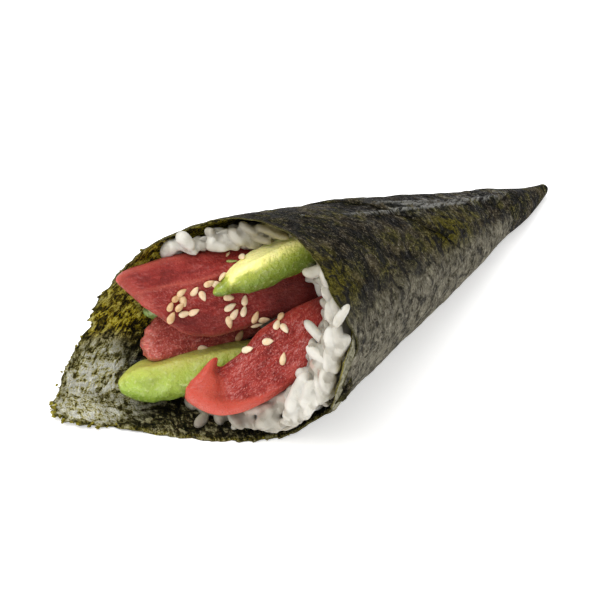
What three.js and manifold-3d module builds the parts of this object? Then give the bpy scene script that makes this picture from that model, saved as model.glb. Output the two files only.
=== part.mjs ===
// A temaki: a cone of rolled nori that holds sushi rice, three slices of raw tuna and three pieces of avocado.
// It lies on its side. Units are millimetres, +Z is up, the tip of the cone points along +X and the mouth along -X.
//
// Most sizes are given in "cone coordinates": u is the distance from the cone's apex, measured along -X,
// and an azimuth a goes round the cone, 0 at the top, 90 at the back (+Y), 180 on the table and 270 at the front (-Y).
import * as THREE from "three";
import { mergeVertices } from "three/addons/utils/BufferGeometryUtils.js";
import Module from "manifold-3d";

const wasm = await Module();
wasm.setup();

// ---------------------------------------------------------------- driving sizes
const APEX_X = 71.55; // the apex of the cone in the part's frame
const APEX_Y = -7.265;
const CONE_K = 0.2269; // the cone's radius for each mm of u
const TIP_R = 1.4; // radius of the blunt tip
const FULL = 1.25; // the filling swells the roll by this much, from the tip on
const AXIS_LIFT = 0.951; // axis height over radius: the roll has settled onto a flat strip
const SETTLE = 1.25; // the tongue drops to the table past the end of the outer lap
const SAG = 2.4; // the top of the mouth sags by this much
const DENT = 2.0; // and its front lower side is pressed in by this much
const OPEN_Y = 15; // the tongue lies open: outwards
const OPEN_Z = 10; // and downwards, past the mouth
const NORI_T = 0.4; // thickness of the sheet
const NORI_PITCH = 0.8; // one turn of the sheet lies this far outside the one before it
const STEP_DEG = 12; // one facet round the cone
const PHI_IN = 66; // winding angle where the sheet starts, inside the roll
const PHI_OUT = 798; // winding angle of the outer corner
const U_ROOT = 12; // where the separate layers begin; the tip below that is one lump
const FIT = 0.35; // clearance between neighbouring pieces

const rad = (d) => (d * Math.PI) / 180;
const clamp01 = (t) => Math.min(1, Math.max(0, t));
const smooth = (t) => {
  const c = clamp01(t);
  return c * c * (3 - 2 * c);
};
const bump = (x, centre, half) => {
  let d = (((x - centre) % 360) + 540) % 360;
  d = Math.abs(d - 180) / half;
  return d >= 1 ? 0 : 0.5 + 0.5 * Math.cos(Math.PI * d);
};
// Value of a station table [[x, y, ...], ...] at x, straight between the stations.
const lerpTable = (table, x, k = 1) => {
  if (x <= table[0][0]) return table[0][k];
  for (let i = 1; i < table.length; i++)
    if (x <= table[i][0]) {
      const [a, b] = [table[i - 1], table[i]];
      return a[k] + ((b[k] - a[k]) * (x - a[0])) / (b[0] - a[0]);
    }
  return table[table.length - 1][k];
};

// How far the sheet reaches from the apex at each winding angle. The tongue's corner is at 217 degrees and the
// outer corner at 798.
const RIM = [
  [66, 108], [72, 111.5], [78, 116.5], [84, 120], [92, 121.2], [102, 122.8], [114, 120.8], [126, 115.6], [138, 112.5],
  [150, 114.5], [162, 119.5], [174, 124.7], [186, 130.4], [198, 136], [209, 141], [217, 143.2], [225, 142.4],
  [234, 138.2], [246, 132.2], [258, 129.8], [270, 128.5], [282, 126], [294, 122.4], [306, 117.2], [318, 112.2],
  [342, 112], [366, 112], [378, 112.5], [390, 113.6], [402, 116.2], [414, 118.2], [426, 117.8], [438, 114.6],
  [445, 114], [451, 115.8], [456, 118.2], [461, 118.8], [467, 116.2], [474, 113.4], [486, 110.5], [498, 106.5],
  [534, 102.5], [570, 99], [606, 95.5], [642, 91.5], [678, 85], [714, 75], [738, 70.5], [762, 63], [786, 56], [798, 51],
];
// Where the sheet begins. It only leaves the tip on its last, outer lap, which ends in a corner.
const ROOT = [[66, U_ROOT], [702, U_ROOT], [726, 17], [750, 26], [774, 37], [798, 49.5]];

// ---------------------------------------------------------------- the cone's surface
// Depth is measured inwards from the outside of the outermost layer.
const coneR = (u) => Math.hypot(CONE_K * u, TIP_R) + FULL * smooth(u / 25);
function conePoint(u, azDeg, depth) {
  const a = rad(azDeg);
  const full = coneR(u);
  const r = full - depth - DENT * smooth((u - 45) / 62) * bump(azDeg, 246, 52);
  let y = r * Math.sin(a);
  let z = AXIS_LIFT * full + r * Math.cos(a) - SAG * smooth((u - 78) / 42) * bump(azDeg, 18, 85);
  const open = smooth((u - 104) / 36);
  y += OPEN_Y * open * bump(azDeg, 128, 66);
  z -= OPEN_Z * open * bump(azDeg, 124, 62);
  const settle = SETTLE * smooth((u - 104) / 14) * bump(azDeg, 192, 85);
  return new THREE.Vector3(APEX_X - u, APEX_Y + y, Math.max(Math.max(z, depth) - settle, 0));
}

// ---------------------------------------------------------------- geometry helpers
// A closed solid from rows of points: each row is a closed ring, and both ends are capped.
function loft(rings) {
  const n = rings[0].length;
  const pos = [];
  rings.forEach((ring) => ring.forEach((p) => pos.push(p.x, p.y, p.z)));
  const idx = [];
  for (let i = 0; i + 1 < rings.length; i++)
    for (let j = 0; j < n; j++) {
      const a = i * n + j, b = i * n + ((j + 1) % n), c = a + n, d = b + n;
      idx.push(a, b, c, b, d, c);
    }
  const cap = (ring, base, flip) => {
    const m = ring.reduce((s, p) => s.add(p), new THREE.Vector3()).divideScalar(n);
    const c = pos.length / 3;
    pos.push(m.x, m.y, m.z);
    for (let j = 0; j < n; j++)
      flip ? idx.push(c, base + ((j + 1) % n), base + j) : idx.push(c, base + j, base + ((j + 1) % n));
  };
  cap(rings[0], 0, true);
  cap(rings[rings.length - 1], (rings.length - 1) * n, false);
  const g = new THREE.BufferGeometry();
  g.setAttribute("position", new THREE.Float32BufferAttribute(pos, 3));
  g.setIndex(idx);
  return g;
}

function toSolid(geometry) {
  const g = geometry.clone();
  g.deleteAttribute("normal");
  g.deleteAttribute("uv");
  const m = mergeVertices(g, 1e-4);
  let s = new wasm.Manifold(
    new wasm.Mesh({ numProp: 3, vertProperties: m.attributes.position.array, triVerts: new Uint32Array(m.index.array) }),
  );
  if (s.volume() < 0) {
    const t = new Uint32Array(m.index.array);
    for (let i = 0; i < t.length; i += 3) [t[i + 1], t[i + 2]] = [t[i + 2], t[i + 1]];
    s = new wasm.Manifold(new wasm.Mesh({ numProp: 3, vertProperties: m.attributes.position.array, triVerts: t }));
  }
  return s;
}

function toGeometry(solid) {
  const m = solid.getMesh();
  const pos = [];
  for (let i = 0; i < m.numVert; i++)
    pos.push(m.vertProperties[i * m.numProp], m.vertProperties[i * m.numProp + 1], m.vertProperties[i * m.numProp + 2]);
  const g = new THREE.BufferGeometry();
  g.setAttribute("position", new THREE.Float32BufferAttribute(pos, 3));
  g.setIndex(Array.from(m.triVerts));
  return g;
}

// The largest body of a solid: small chips left by a cut are dropped.
const biggest = (solid) => solid.decompose().reduce((a, b) => (a.volume() > b.volume() ? a : b));

// ---------------------------------------------------------------- nori
const depthAt = (phi) => ((PHI_OUT - phi) / 360) * NORI_PITCH;
// At the front lower edge the inner lap stands off the outer one a little, which leaves an open slit.
const innerLap = (phi, u) => (phi > 200 ? 0 : 0.5 * smooth((u - 96) / 20) * bump(phi, 108, 42));

function noriShell() {
  const COLS = 11;
  const phis = [];
  for (let p = PHI_IN; p <= PHI_OUT + 1e-6; p += STEP_DEG) phis.push(p);
  const pos = [];
  const at = (i, j, side) => (i * (COLS + 1) + j) * 2 + side;
  for (const phi of phis) {
    const lo = lerpTable(ROOT, phi), hi = lerpTable(RIM, phi);
    for (let j = 0; j <= COLS; j++) {
      const u = lo + (hi - lo) * Math.pow(j / COLS, 0.92);
      for (const side of [0, 1]) {
        const d = depthAt(phi) + innerLap(phi, u) + side * NORI_T;
        const p = conePoint(u, -phi, d);
        pos.push(p.x, p.y, p.z);
      }
    }
  }
  const idx = [];
  const quad = (a, b, c, d) => idx.push(a, b, c, a, c, d);
  const N = phis.length - 1;
  for (let i = 0; i < N; i++)
    for (let j = 0; j < COLS; j++) {
      quad(at(i, j, 0), at(i, j + 1, 0), at(i + 1, j + 1, 0), at(i + 1, j, 0));
      quad(at(i, j, 1), at(i + 1, j, 1), at(i + 1, j + 1, 1), at(i, j + 1, 1));
    }
  for (let i = 0; i < N; i++) {
    quad(at(i, 0, 0), at(i + 1, 0, 0), at(i + 1, 0, 1), at(i, 0, 1));
    quad(at(i, COLS, 0), at(i, COLS, 1), at(i + 1, COLS, 1), at(i + 1, COLS, 0));
  }
  for (let j = 0; j < COLS; j++) {
    quad(at(0, j, 0), at(0, j, 1), at(0, j + 1, 1), at(0, j + 1, 0));
    quad(at(N, j, 0), at(N, j + 1, 0), at(N, j + 1, 1), at(N, j, 1));
  }
  const g = new THREE.BufferGeometry();
  g.setAttribute("position", new THREE.Float32BufferAttribute(pos, 3));
  g.setIndex(idx);
  return g;
}

// A ring of the cone's surface at u.
const ringAt = (u, depth, inside = false) => {
  const ring = [];
  for (let a = STEP_DEG / 2; a < 360; a += STEP_DEG)
    ring.push(conePoint(u, a, depth + (inside && a > 160 ? innerLap(360 - a, u) : 0)));
  return ring;
};

// The sheet is pressed together at the tip.
function tipPlug() {
  const rings = [];
  for (const [u, depth] of [[0.4, 0.5], [0.9, 0.15], [2, 0], [6, 0], [U_ROOT - 2, 0.05], [U_ROOT + 5, 0.5]])
    rings.push(ringAt(u, depth));
  return loft(rings);
}

// ---------------------------------------------------------------- slices and wedges
// All of them start in the mouth and run on into the roll. Points are [u, y, z], with y from the apex's line.
const at3 = (p) => new THREE.Vector3(APEX_X - p[0], APEX_Y + p[1], p[2]);
const pathOf = (pts) => new THREE.CatmullRomCurve3(pts.map(at3), false, "centripetal");
const superCos = (a, e) => Math.sign(Math.cos(a)) * Math.pow(Math.abs(Math.cos(a)), e);
const superSin = (a, e) => Math.sign(Math.sin(a)) * Math.pow(Math.abs(Math.sin(a)), e);
const RING = 18;
const ROWS = 15;
// Row positions along a piece, closer together at its two rounded ends.
const rowAt = (i) => {
  const e = i / ROWS;
  return e - 0.055 * Math.sin(2 * Math.PI * e);
};
const endTaper = (t, nose) => {
  const d = clamp01(Math.min(t / nose, (1 - t) / 0.08));
  return 0.3 + 0.7 * Math.sqrt(1 - (1 - d) * (1 - d));
};

const ridge = (x) => Math.exp(-(((x - 0.5) / 0.42) ** 2));

// A slice spans two rails, the edges of its front face, and is thick behind them. grow makes the hollow it lies in.
function slice({ upper, lower, thick, nose = 0.06, hollow = 0, crown = 0 }, grow = 0) {
  const U = pathOf(upper), L = pathOf(lower);
  const rings = [];
  for (let i = 0; i <= ROWS; i++) {
    const t = rowAt(i);
    const a = U.getPoint(t), b = L.getPoint(t);
    const T = U.getTangent(t).add(L.getTangent(t)).normalize();
    const w = a.clone().sub(b);
    const half = w.length() / 2;
    w.normalize();
    const n = new THREE.Vector3().crossVectors(w, T).normalize(); // away from the front face
    if (n.z > 0) n.negate();
    const th = lerpTable(thick, t) / 2;
    const k = endTaper(t, nose);
    const c = a.clone().add(b).multiplyScalar(0.5).addScaledVector(n, th);
    const push = i === 0 ? -grow : i === ROWS ? grow : 0;
    const ring = [];
    for (let j = 0; j < RING; j++) {
      const g = (2 * Math.PI * j) / RING;
      const x = superCos(g, 0.55), y = superSin(g, 0.7);
      // the front face is hollowed near the curled end, or raised along a ridge
      const dish = y < 0 ? hollow * (1 - x * x) * clamp01(1 - t / 0.3) * clamp01(t / 0.06) - crown * ridge(x) * k : 0;
      const q = c.clone()
        .addScaledVector(w, x * (half * (0.55 + 0.45 * k) + grow))
        .addScaledVector(n, y * (th * k + grow) + dish)
        .addScaledVector(T, push);
      q.z = Math.max(q.z, 0.1);
      ring.push(q);
    }
    rings.push(ring);
  }
  return loft(rings);
}

// A wedge of avocado: round on its skin side and cut flat on the other. Stations are [u, y, z, width, depth], width
// standing up at the given tilt.
function wedge({ stations, tilt, flat = 0.45, nose = 0.1 }, grow = 0) {
  const path = pathOf(stations);
  const rings = [];
  for (let i = 0; i <= ROWS; i++) {
    const t = rowAt(i);
    const p = path.getPoint(t);
    const T = path.getTangent(t).normalize();
    const f = stations.length - 1;
    const s = (k) => lerpTable(stations.map((st, m) => [m / f, st[k]]), t);
    const w = new THREE.Vector3(0, Math.cos(rad(tilt)), Math.sin(rad(tilt)));
    w.addScaledVector(T, -w.dot(T)).normalize();
    const n = new THREE.Vector3().crossVectors(w, T).normalize();
    if (n.y > 0) n.negate(); // towards the front
    const k = endTaper(t, nose);
    const push = i === 0 ? -grow : i === ROWS ? grow : 0;
    const ring = [];
    for (let j = 0; j < RING; j++) {
      const g = (2 * Math.PI * j) / RING;
      const x = Math.min(Math.cos(g), flat); // the flat side is up
      ring.push(
        p.clone()
          .addScaledVector(w, x * (s(3) / 2) * k + Math.sign(x) * grow * Math.min(1, Math.abs(x) * 2))
          .addScaledVector(n, Math.sin(g) * ((s(4) / 2) * k + grow))
          .addScaledVector(T, push),
      );
    }
    rings.push(ring);
  }
  return loft(rings);
}

const SLICES = {
  // the long slice at the back, lying across the mouth with its tip over the rim
  tuna_back: {
    upper: [[131.4, 27.6, 34.9], [121.6, 21.6, 36.6], [114.6, 16.4, 37], [107, 10.8, 37], [99.5, 6, 36.4], [87, 1.5, 31], [71, -0.5, 22]],
    lower: [[125.6, 15.4, 23.4], [120.4, 10, 20.2], [114.5, 4.6, 21], [106, -1.2, 23.4], [98.5, -5.4, 24.6], [85, -8, 20.8], [70, -6.2, 14.6]],
    thick: [[0, 3.6], [0.15, 6.4], [0.7, 6.8], [1, 5]], crown: 1.8,
  },
  // the slice under it
  tuna_low: {
    upper: [[119.6, 24.4, 20.6], [114.5, 21.2, 21.4], [107, 16.5, 20.5], [99, 12.5, 19], [88, 9.5, 16.5]],
    lower: [[127, 20.2, 14.2], [119.8, 15.6, 13.5], [112.1, 11.8, 13.4], [102, 7.6, 13.3], [91, 5, 11.4]],
    thick: [[0, 4.6], [0.5, 5.6], [1, 4]],
  },
  // the slice at the front, sloping down to the table, its end curled up
  tuna_front: {
    upper: [[126.4, 5.6, 17.6], [121.2, 2.6, 19.2], [114, 0.2, 23.4], [107, -2.8, 26], [99, -6, 27.4], [89, -6.5, 25], [78, -6, 20.5]],
    lower: [[133.6, 6.2, 13.8], [130.8, -1, 11.2], [123.8, -6.9, 12.3], [115.6, -11.2, 15.8], [105.5, -12.8, 21.4], [94, -12.8, 19.8], [82, -10.8, 15.6]],
    thick: [[0, 4.6], [0.3, 5.4], [1, 4.4]], nose: 0.05, hollow: 1.5,
  },
};
const WEDGES = {
  // the wedge on top
  avocado_top: {
    tilt: 74, nose: 0.06, flat: 0.6,
    stations: [
      [119.4, 9, 31.6, 1.5, 1.4], [116.6, 7.8, 32.6, 4, 3.2], [113.4, 6.3, 33.9, 8, 6], [109.8, 4, 35.4, 10, 7.3],
      [103.5, 0.3, 37.8, 11, 7.8], [99, -1.4, 38.2, 10.6, 7.6], [90, -2.8, 34.6, 8.4, 6.4], [79, -3.6, 29.6, 5, 4],
    ],
  },
  // the wedge that lies out on the tongue
  avocado_low: {
    tilt: 64, nose: 0.2, flat: 0.62,
    stations: [[131.6, 26.2, 6.6, 5.6, 5.2], [127, 21.9, 7.8, 10.6, 9], [120.5, 15.8, 9.4, 12.4, 9.6], [113, 8.6, 10.6, 11.6, 9], [105, 2.4, 11.2, 9.6, 8], [96, -1.4, 11.6, 6, 6]],
  },
  // the end of a third wedge, against the back wall
  avocado_end: {
    tilt: 80, nose: 0.2, flat: 0.7,
    stations: [[121.3, 27.1, 20.5, 3.4, 2.6], [116, 24.1, 19.9, 5.4, 3.6], [108, 20.7, 17.9, 5.4, 3.6], [99, 17.3, 15.5, 3.6, 2.6]],
  },
};

// ---------------------------------------------------------------- rice
// Its front edge against the nori, by azimuth.
const RICE_EDGE = [
  [0, 107], [25, 110], [40, 112.5], [55, 116.5], [70, 117.5], [82, 113], [98, 107], [125, 106], [145, 110], [160, 117], [172, 122],
  [186, 124.5], [200, 122], [220, 119], [245, 119.5], [270, 119], [288, 117.5], [304, 113], [320, 106.5], [340, 104], [360, 107],
];
const RICE_BACK = 99; // the rice behind the slices ends here
function riceBody() {
  const depth = (PHI_OUT - PHI_IN) / 360 * NORI_PITCH + NORI_T + FIT + 0.1;
  const rings = [];
  for (const u of [19, 32, 45, 58, 70, 81, 91, 99, 105]) rings.push(ringAt(u, depth, true));
  // across the mouth the surface is a dish: deepest in the middle, and thick along the front wall
  for (const [pull, drop] of [[0.3, 0.06], [1.6, 0], [4.6, 0.08], [8.2, 0.3], [12, 0.75], [16, 1]]) {
    const ring = [];
    for (let a = STEP_DEG / 2; a < 360; a += STEP_DEG) {
      const edge = lerpTable(RICE_EDGE, a);
      const front = bump(a, 218, 72);
      const u = edge - (edge - RICE_BACK) * drop * (1 - 0.55 * front);
      const p = conePoint(Math.min(u, 118), a, depth + pull + (a > 160 ? innerLap(360 - a, u) : 0));
      p.x = APEX_X - u;
      ring.push(p);
    }
    rings.push(ring);
  }
  return loft(rings);
}

// ---------------------------------------------------------------- assembly
const nori = biggest(toSolid(noriShell()).add(toSolid(tipPlug())));
const shapeOf = (name, grow = 0) => toSolid(name in SLICES ? slice(SLICES[name], grow) : wedge(WEDGES[name], grow));
const order = ["avocado_top", "tuna_front", "tuna_back", "tuna_low", "avocado_low", "avocado_end"];
const made = {};
for (const name of order) {
  let s = shapeOf(name);
  for (const other of Object.keys(made)) s = s.subtract(shapeOf(other, FIT + 0.2));
  made[name] = biggest(s);
}
let rice = toSolid(riceBody());
for (const name of order) rice = rice.subtract(shapeOf(name, FIT + 0.2));
rice = biggest(rice);

const MATERIALS = {
  nori: { color: 0x2a2a1e, roughness: 0.55 },
  rice: { color: 0xe9e6dc, roughness: 0.4 },
  tuna: { color: 0x9a3a36, roughness: 0.35 },
  avocado: { color: 0xa9ba55, roughness: 0.45 },
};
const part = new THREE.Group();
const add = (name, solid, look) => {
  const m = new THREE.Mesh(toGeometry(solid), new THREE.MeshStandardMaterial({ metalness: 0, ...MATERIALS[look] }));
  m.name = name;
  part.add(m);
};
add("nori", nori, "nori");
add("rice", rice, "rice");
for (const name of order) add(name, made[name], name.split("_")[0]);

export default part;
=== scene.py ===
"""A temaki: a cone of rolled nori with rice, three slices of tuna, three pieces of avocado and sesame.

Sizes below are in millimetres and are turned into metres when a mesh is made. As in the CAD model, u is the distance
from the cone's apex, measured along -X, and an azimuth goes round the cone: 0 top, 90 back, 180 table, 270 front.
"""
import math
import bpy
import numpy as np
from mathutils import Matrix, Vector
from mathutils.bvhtree import BVHTree


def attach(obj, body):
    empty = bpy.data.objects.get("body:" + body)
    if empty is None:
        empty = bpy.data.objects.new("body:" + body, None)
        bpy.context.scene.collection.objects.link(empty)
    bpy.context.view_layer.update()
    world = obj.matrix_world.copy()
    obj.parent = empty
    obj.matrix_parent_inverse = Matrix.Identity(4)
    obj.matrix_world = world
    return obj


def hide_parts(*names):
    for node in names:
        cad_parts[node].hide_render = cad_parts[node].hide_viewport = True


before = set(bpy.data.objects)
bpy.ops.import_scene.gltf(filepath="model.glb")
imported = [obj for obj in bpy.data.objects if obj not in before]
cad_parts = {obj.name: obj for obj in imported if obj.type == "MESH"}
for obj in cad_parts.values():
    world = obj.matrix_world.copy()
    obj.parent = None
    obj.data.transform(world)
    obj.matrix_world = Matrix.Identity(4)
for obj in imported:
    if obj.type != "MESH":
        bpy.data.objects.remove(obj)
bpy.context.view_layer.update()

rng = np.random.default_rng(7)

# ------------------------------------------------------------------------------------------------ the shared sizes
APEX_X, APEX_Y = 71.55, -7.265
CONE_K, TIP_R, FULL = 0.2269, 1.4, 1.25
AXIS_LIFT, SETTLE = 0.951, 1.25
SAG, DENT = 2.4, 2.0
OPEN_Y, OPEN_Z = 15.0, 10.0
NORI_T, NORI_PITCH = 0.4, 0.8
PHI_IN, PHI_OUT = 66.0, 798.0
FIT = 0.35


def smooth(t):
    c = np.clip(t, 0.0, 1.0)
    return c * c * (3 - 2 * c)


def bump(x, centre, half):
    d = np.abs((np.asarray(x, float) - centre) % 360)
    d = np.minimum(d, 360 - d) / half
    return np.where(d >= 1, 0.0, 0.5 + 0.5 * np.cos(np.pi * np.minimum(d, 1)))


def table_at(table, x, k=1):
    t = np.asarray(table, float)
    return np.interp(x, t[:, 0], t[:, k])


def cone_r(u):
    return np.hypot(CONE_K * u, TIP_R) + FULL * smooth(u / 25)


def cone_point(u, az, depth):
    """Points of the cone's surface, depth inwards from the outside of the outermost layer."""
    u, az, depth = np.broadcast_arrays(np.asarray(u, float), np.asarray(az, float), np.asarray(depth, float))
    a = np.radians(az)
    full = cone_r(u)
    depth = np.minimum(depth, full * 0.85)
    r = full - depth - DENT * smooth((u - 45) / 62) * bump(az, 246, 52)
    y = r * np.sin(a)
    z = AXIS_LIFT * full + r * np.cos(a) - SAG * smooth((u - 78) / 42) * bump(az, 18, 85)
    op = smooth((u - 104) / 36)
    y = y + OPEN_Y * op * bump(az, 128, 66)
    z = z - OPEN_Z * op * bump(az, 124, 62)
    settle = SETTLE * smooth((u - 104) / 14) * bump(az, 192, 85)
    z = np.maximum(np.maximum(z, depth) - settle, 0)
    return np.stack([APEX_X - u, APEX_Y + y, z], -1)


# ------------------------------------------------------------------------------------------------ noise and meshes
def _hash(i, j, k, seed):
    h = (i * 374761393 + j * 668265263 + k * 2147483647 + seed * 1274126177) & 0xFFFFFFFF
    h = ((h ^ (h >> 13)) * 1274126177) & 0xFFFFFFFF
    h = ((h ^ (h >> 16)) * 2246822519) & 0xFFFFFFFF
    return ((h ^ (h >> 15)) & 0xFFFFFF).astype(float) / 0xFFFFFF * 2 - 1


def noise(p, size, seed=0):
    """Smooth noise, about -1 to 1, with lumps of that size."""
    q = np.asarray(p, float) / size + 517.3
    f = np.floor(q)
    i = f.astype(np.int64)
    w = q - f
    w = w * w * w * (w * (w * 6 - 15) + 10)
    out = 0.0
    for a in (0, 1):
        for b in (0, 1):
            for c in (0, 1):
                wt = (w[..., 0] if a else 1 - w[..., 0]) * (w[..., 1] if b else 1 - w[..., 1]) * (w[..., 2] if c else 1 - w[..., 2])
                out = out + wt * _hash(i[..., 0] + a, i[..., 1] + b, i[..., 2] + c, seed)
    return out


def fbm(p, size, octaves=4, seed=0, gain=0.5):
    total, amp = 0.0, 1.0
    for o in range(octaves):
        total = total + amp * noise(p, size / 2**o, seed + 11 * o)
        amp *= gain
    return total


def ridged(p, size, octaves=3, seed=0, gain=0.5):
    total, amp = 0.0, 1.0
    for o in range(octaves):
        total = total + amp * (1 - 2 * np.abs(noise(p, size / 2**o, seed + 17 * o)))
        amp *= gain
    return total


def make(name, verts_mm, faces, material=None, smooth_shade=True, attrs=None, face_mats=None, mats=None):
    mesh = bpy.data.meshes.new(name)
    v = np.ascontiguousarray(np.asarray(verts_mm, float) / 1000.0)
    mesh.from_pydata(v.tolist(), [], [tuple(int(i) for i in f) for f in faces] if not isinstance(faces, np.ndarray) else faces.tolist())
    mesh.validate()
    mesh.update()
    if smooth_shade:
        mesh.polygons.foreach_set("use_smooth", [True] * len(mesh.polygons))
    for key, val in (attrs or {}).items():
        val = np.asarray(val, np.float32)
        if val.ndim == 1:
            at = mesh.attributes.new(key, "FLOAT", "POINT")
            at.data.foreach_set("value", val)
        else:
            at = mesh.attributes.new(key, "FLOAT_VECTOR", "POINT")
            at.data.foreach_set("vector", val.ravel())
    for m in mats or ([material] if material else []):
        mesh.materials.append(m)
    if face_mats is not None:
        mesh.polygons.foreach_set("material_index", np.asarray(face_mats, np.int32))
    obj = bpy.data.objects.new(name, mesh)
    bpy.context.scene.collection.objects.link(obj)
    return obj


def grid_faces(rows, cols, wrap=False, base=0, flip=False):
    """Quads of a grid of points stored row by row."""
    i = np.arange(rows - 1)[:, None]
    j = np.arange(cols if wrap else cols - 1)[None, :]
    a = base + i * cols + j
    b = base + i * cols + (j + 1) % cols
    c, d = b + cols, a + cols
    q = np.stack([a, b, c, d], -1).reshape(-1, 4)
    return q[:, ::-1] if flip else q


def bvh_of(verts_mm, faces):
    return BVHTree.FromPolygons([tuple(map(float, v)) for v in verts_mm], [tuple(int(i) for i in f) for f in faces])


# ------------------------------------------------------------------------------------------------ the camera's rays
AZ, EL, DIST = math.radians(-53.36), math.radians(34.0), 700.0
BACK = np.array([math.sin(AZ) * math.cos(EL), -math.cos(AZ) * math.cos(EL), math.sin(EL)])
RIGHT = np.array([math.cos(AZ), math.sin(AZ), 0.0])
UP = np.cross(BACK, RIGHT)
TARGET = np.array([-25.20, -3.905, 20.0])
EYE = TARGET + DIST * BACK
FOCAL = 3163.8  # in pixels of a 595 x 600 frame


def ray(px, py):
    d = -BACK + (px - 297.5) / FOCAL * RIGHT - (py - 300.0) / FOCAL * UP
    return d / np.linalg.norm(d)


def cast(trees, px, py):
    """Nearest hit of the sight line through that point of the frame: (point, normal) or None."""
    d = ray(px, py)
    best = None
    for t in trees:
        loc, nor, _, dist = t.ray_cast(Vector(EYE), Vector(d))
        if loc is not None and (best is None or dist < best[2]):
            best = (np.array(loc), np.array(nor), dist)
    if best is None:
        return None
    n = best[1] if best[1] @ d < 0 else -best[1]
    return best[0], n


def screen(p):
    q = np.asarray(p) - EYE
    dd = -(q @ BACK)
    return 297.5 + FOCAL * (q @ RIGHT) / dd, 300 - FOCAL * (q @ UP) / dd


def at_u(px, py, u):
    d = ray(px, py)
    return EYE + d * ((APEX_X - u - EYE[0]) / d[0])


# ------------------------------------------------------------------------------------------------ materials
def new_material(name):
    m = bpy.data.materials.new(name)
    m.use_nodes = True
    nt = m.node_tree
    nt.nodes.clear()
    out = nt.nodes.new("ShaderNodeOutputMaterial")
    bsdf = nt.nodes.new("ShaderNodeBsdfPrincipled")
    nt.links.new(bsdf.outputs[0], out.inputs[0])
    return m, nt, bsdf


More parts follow.
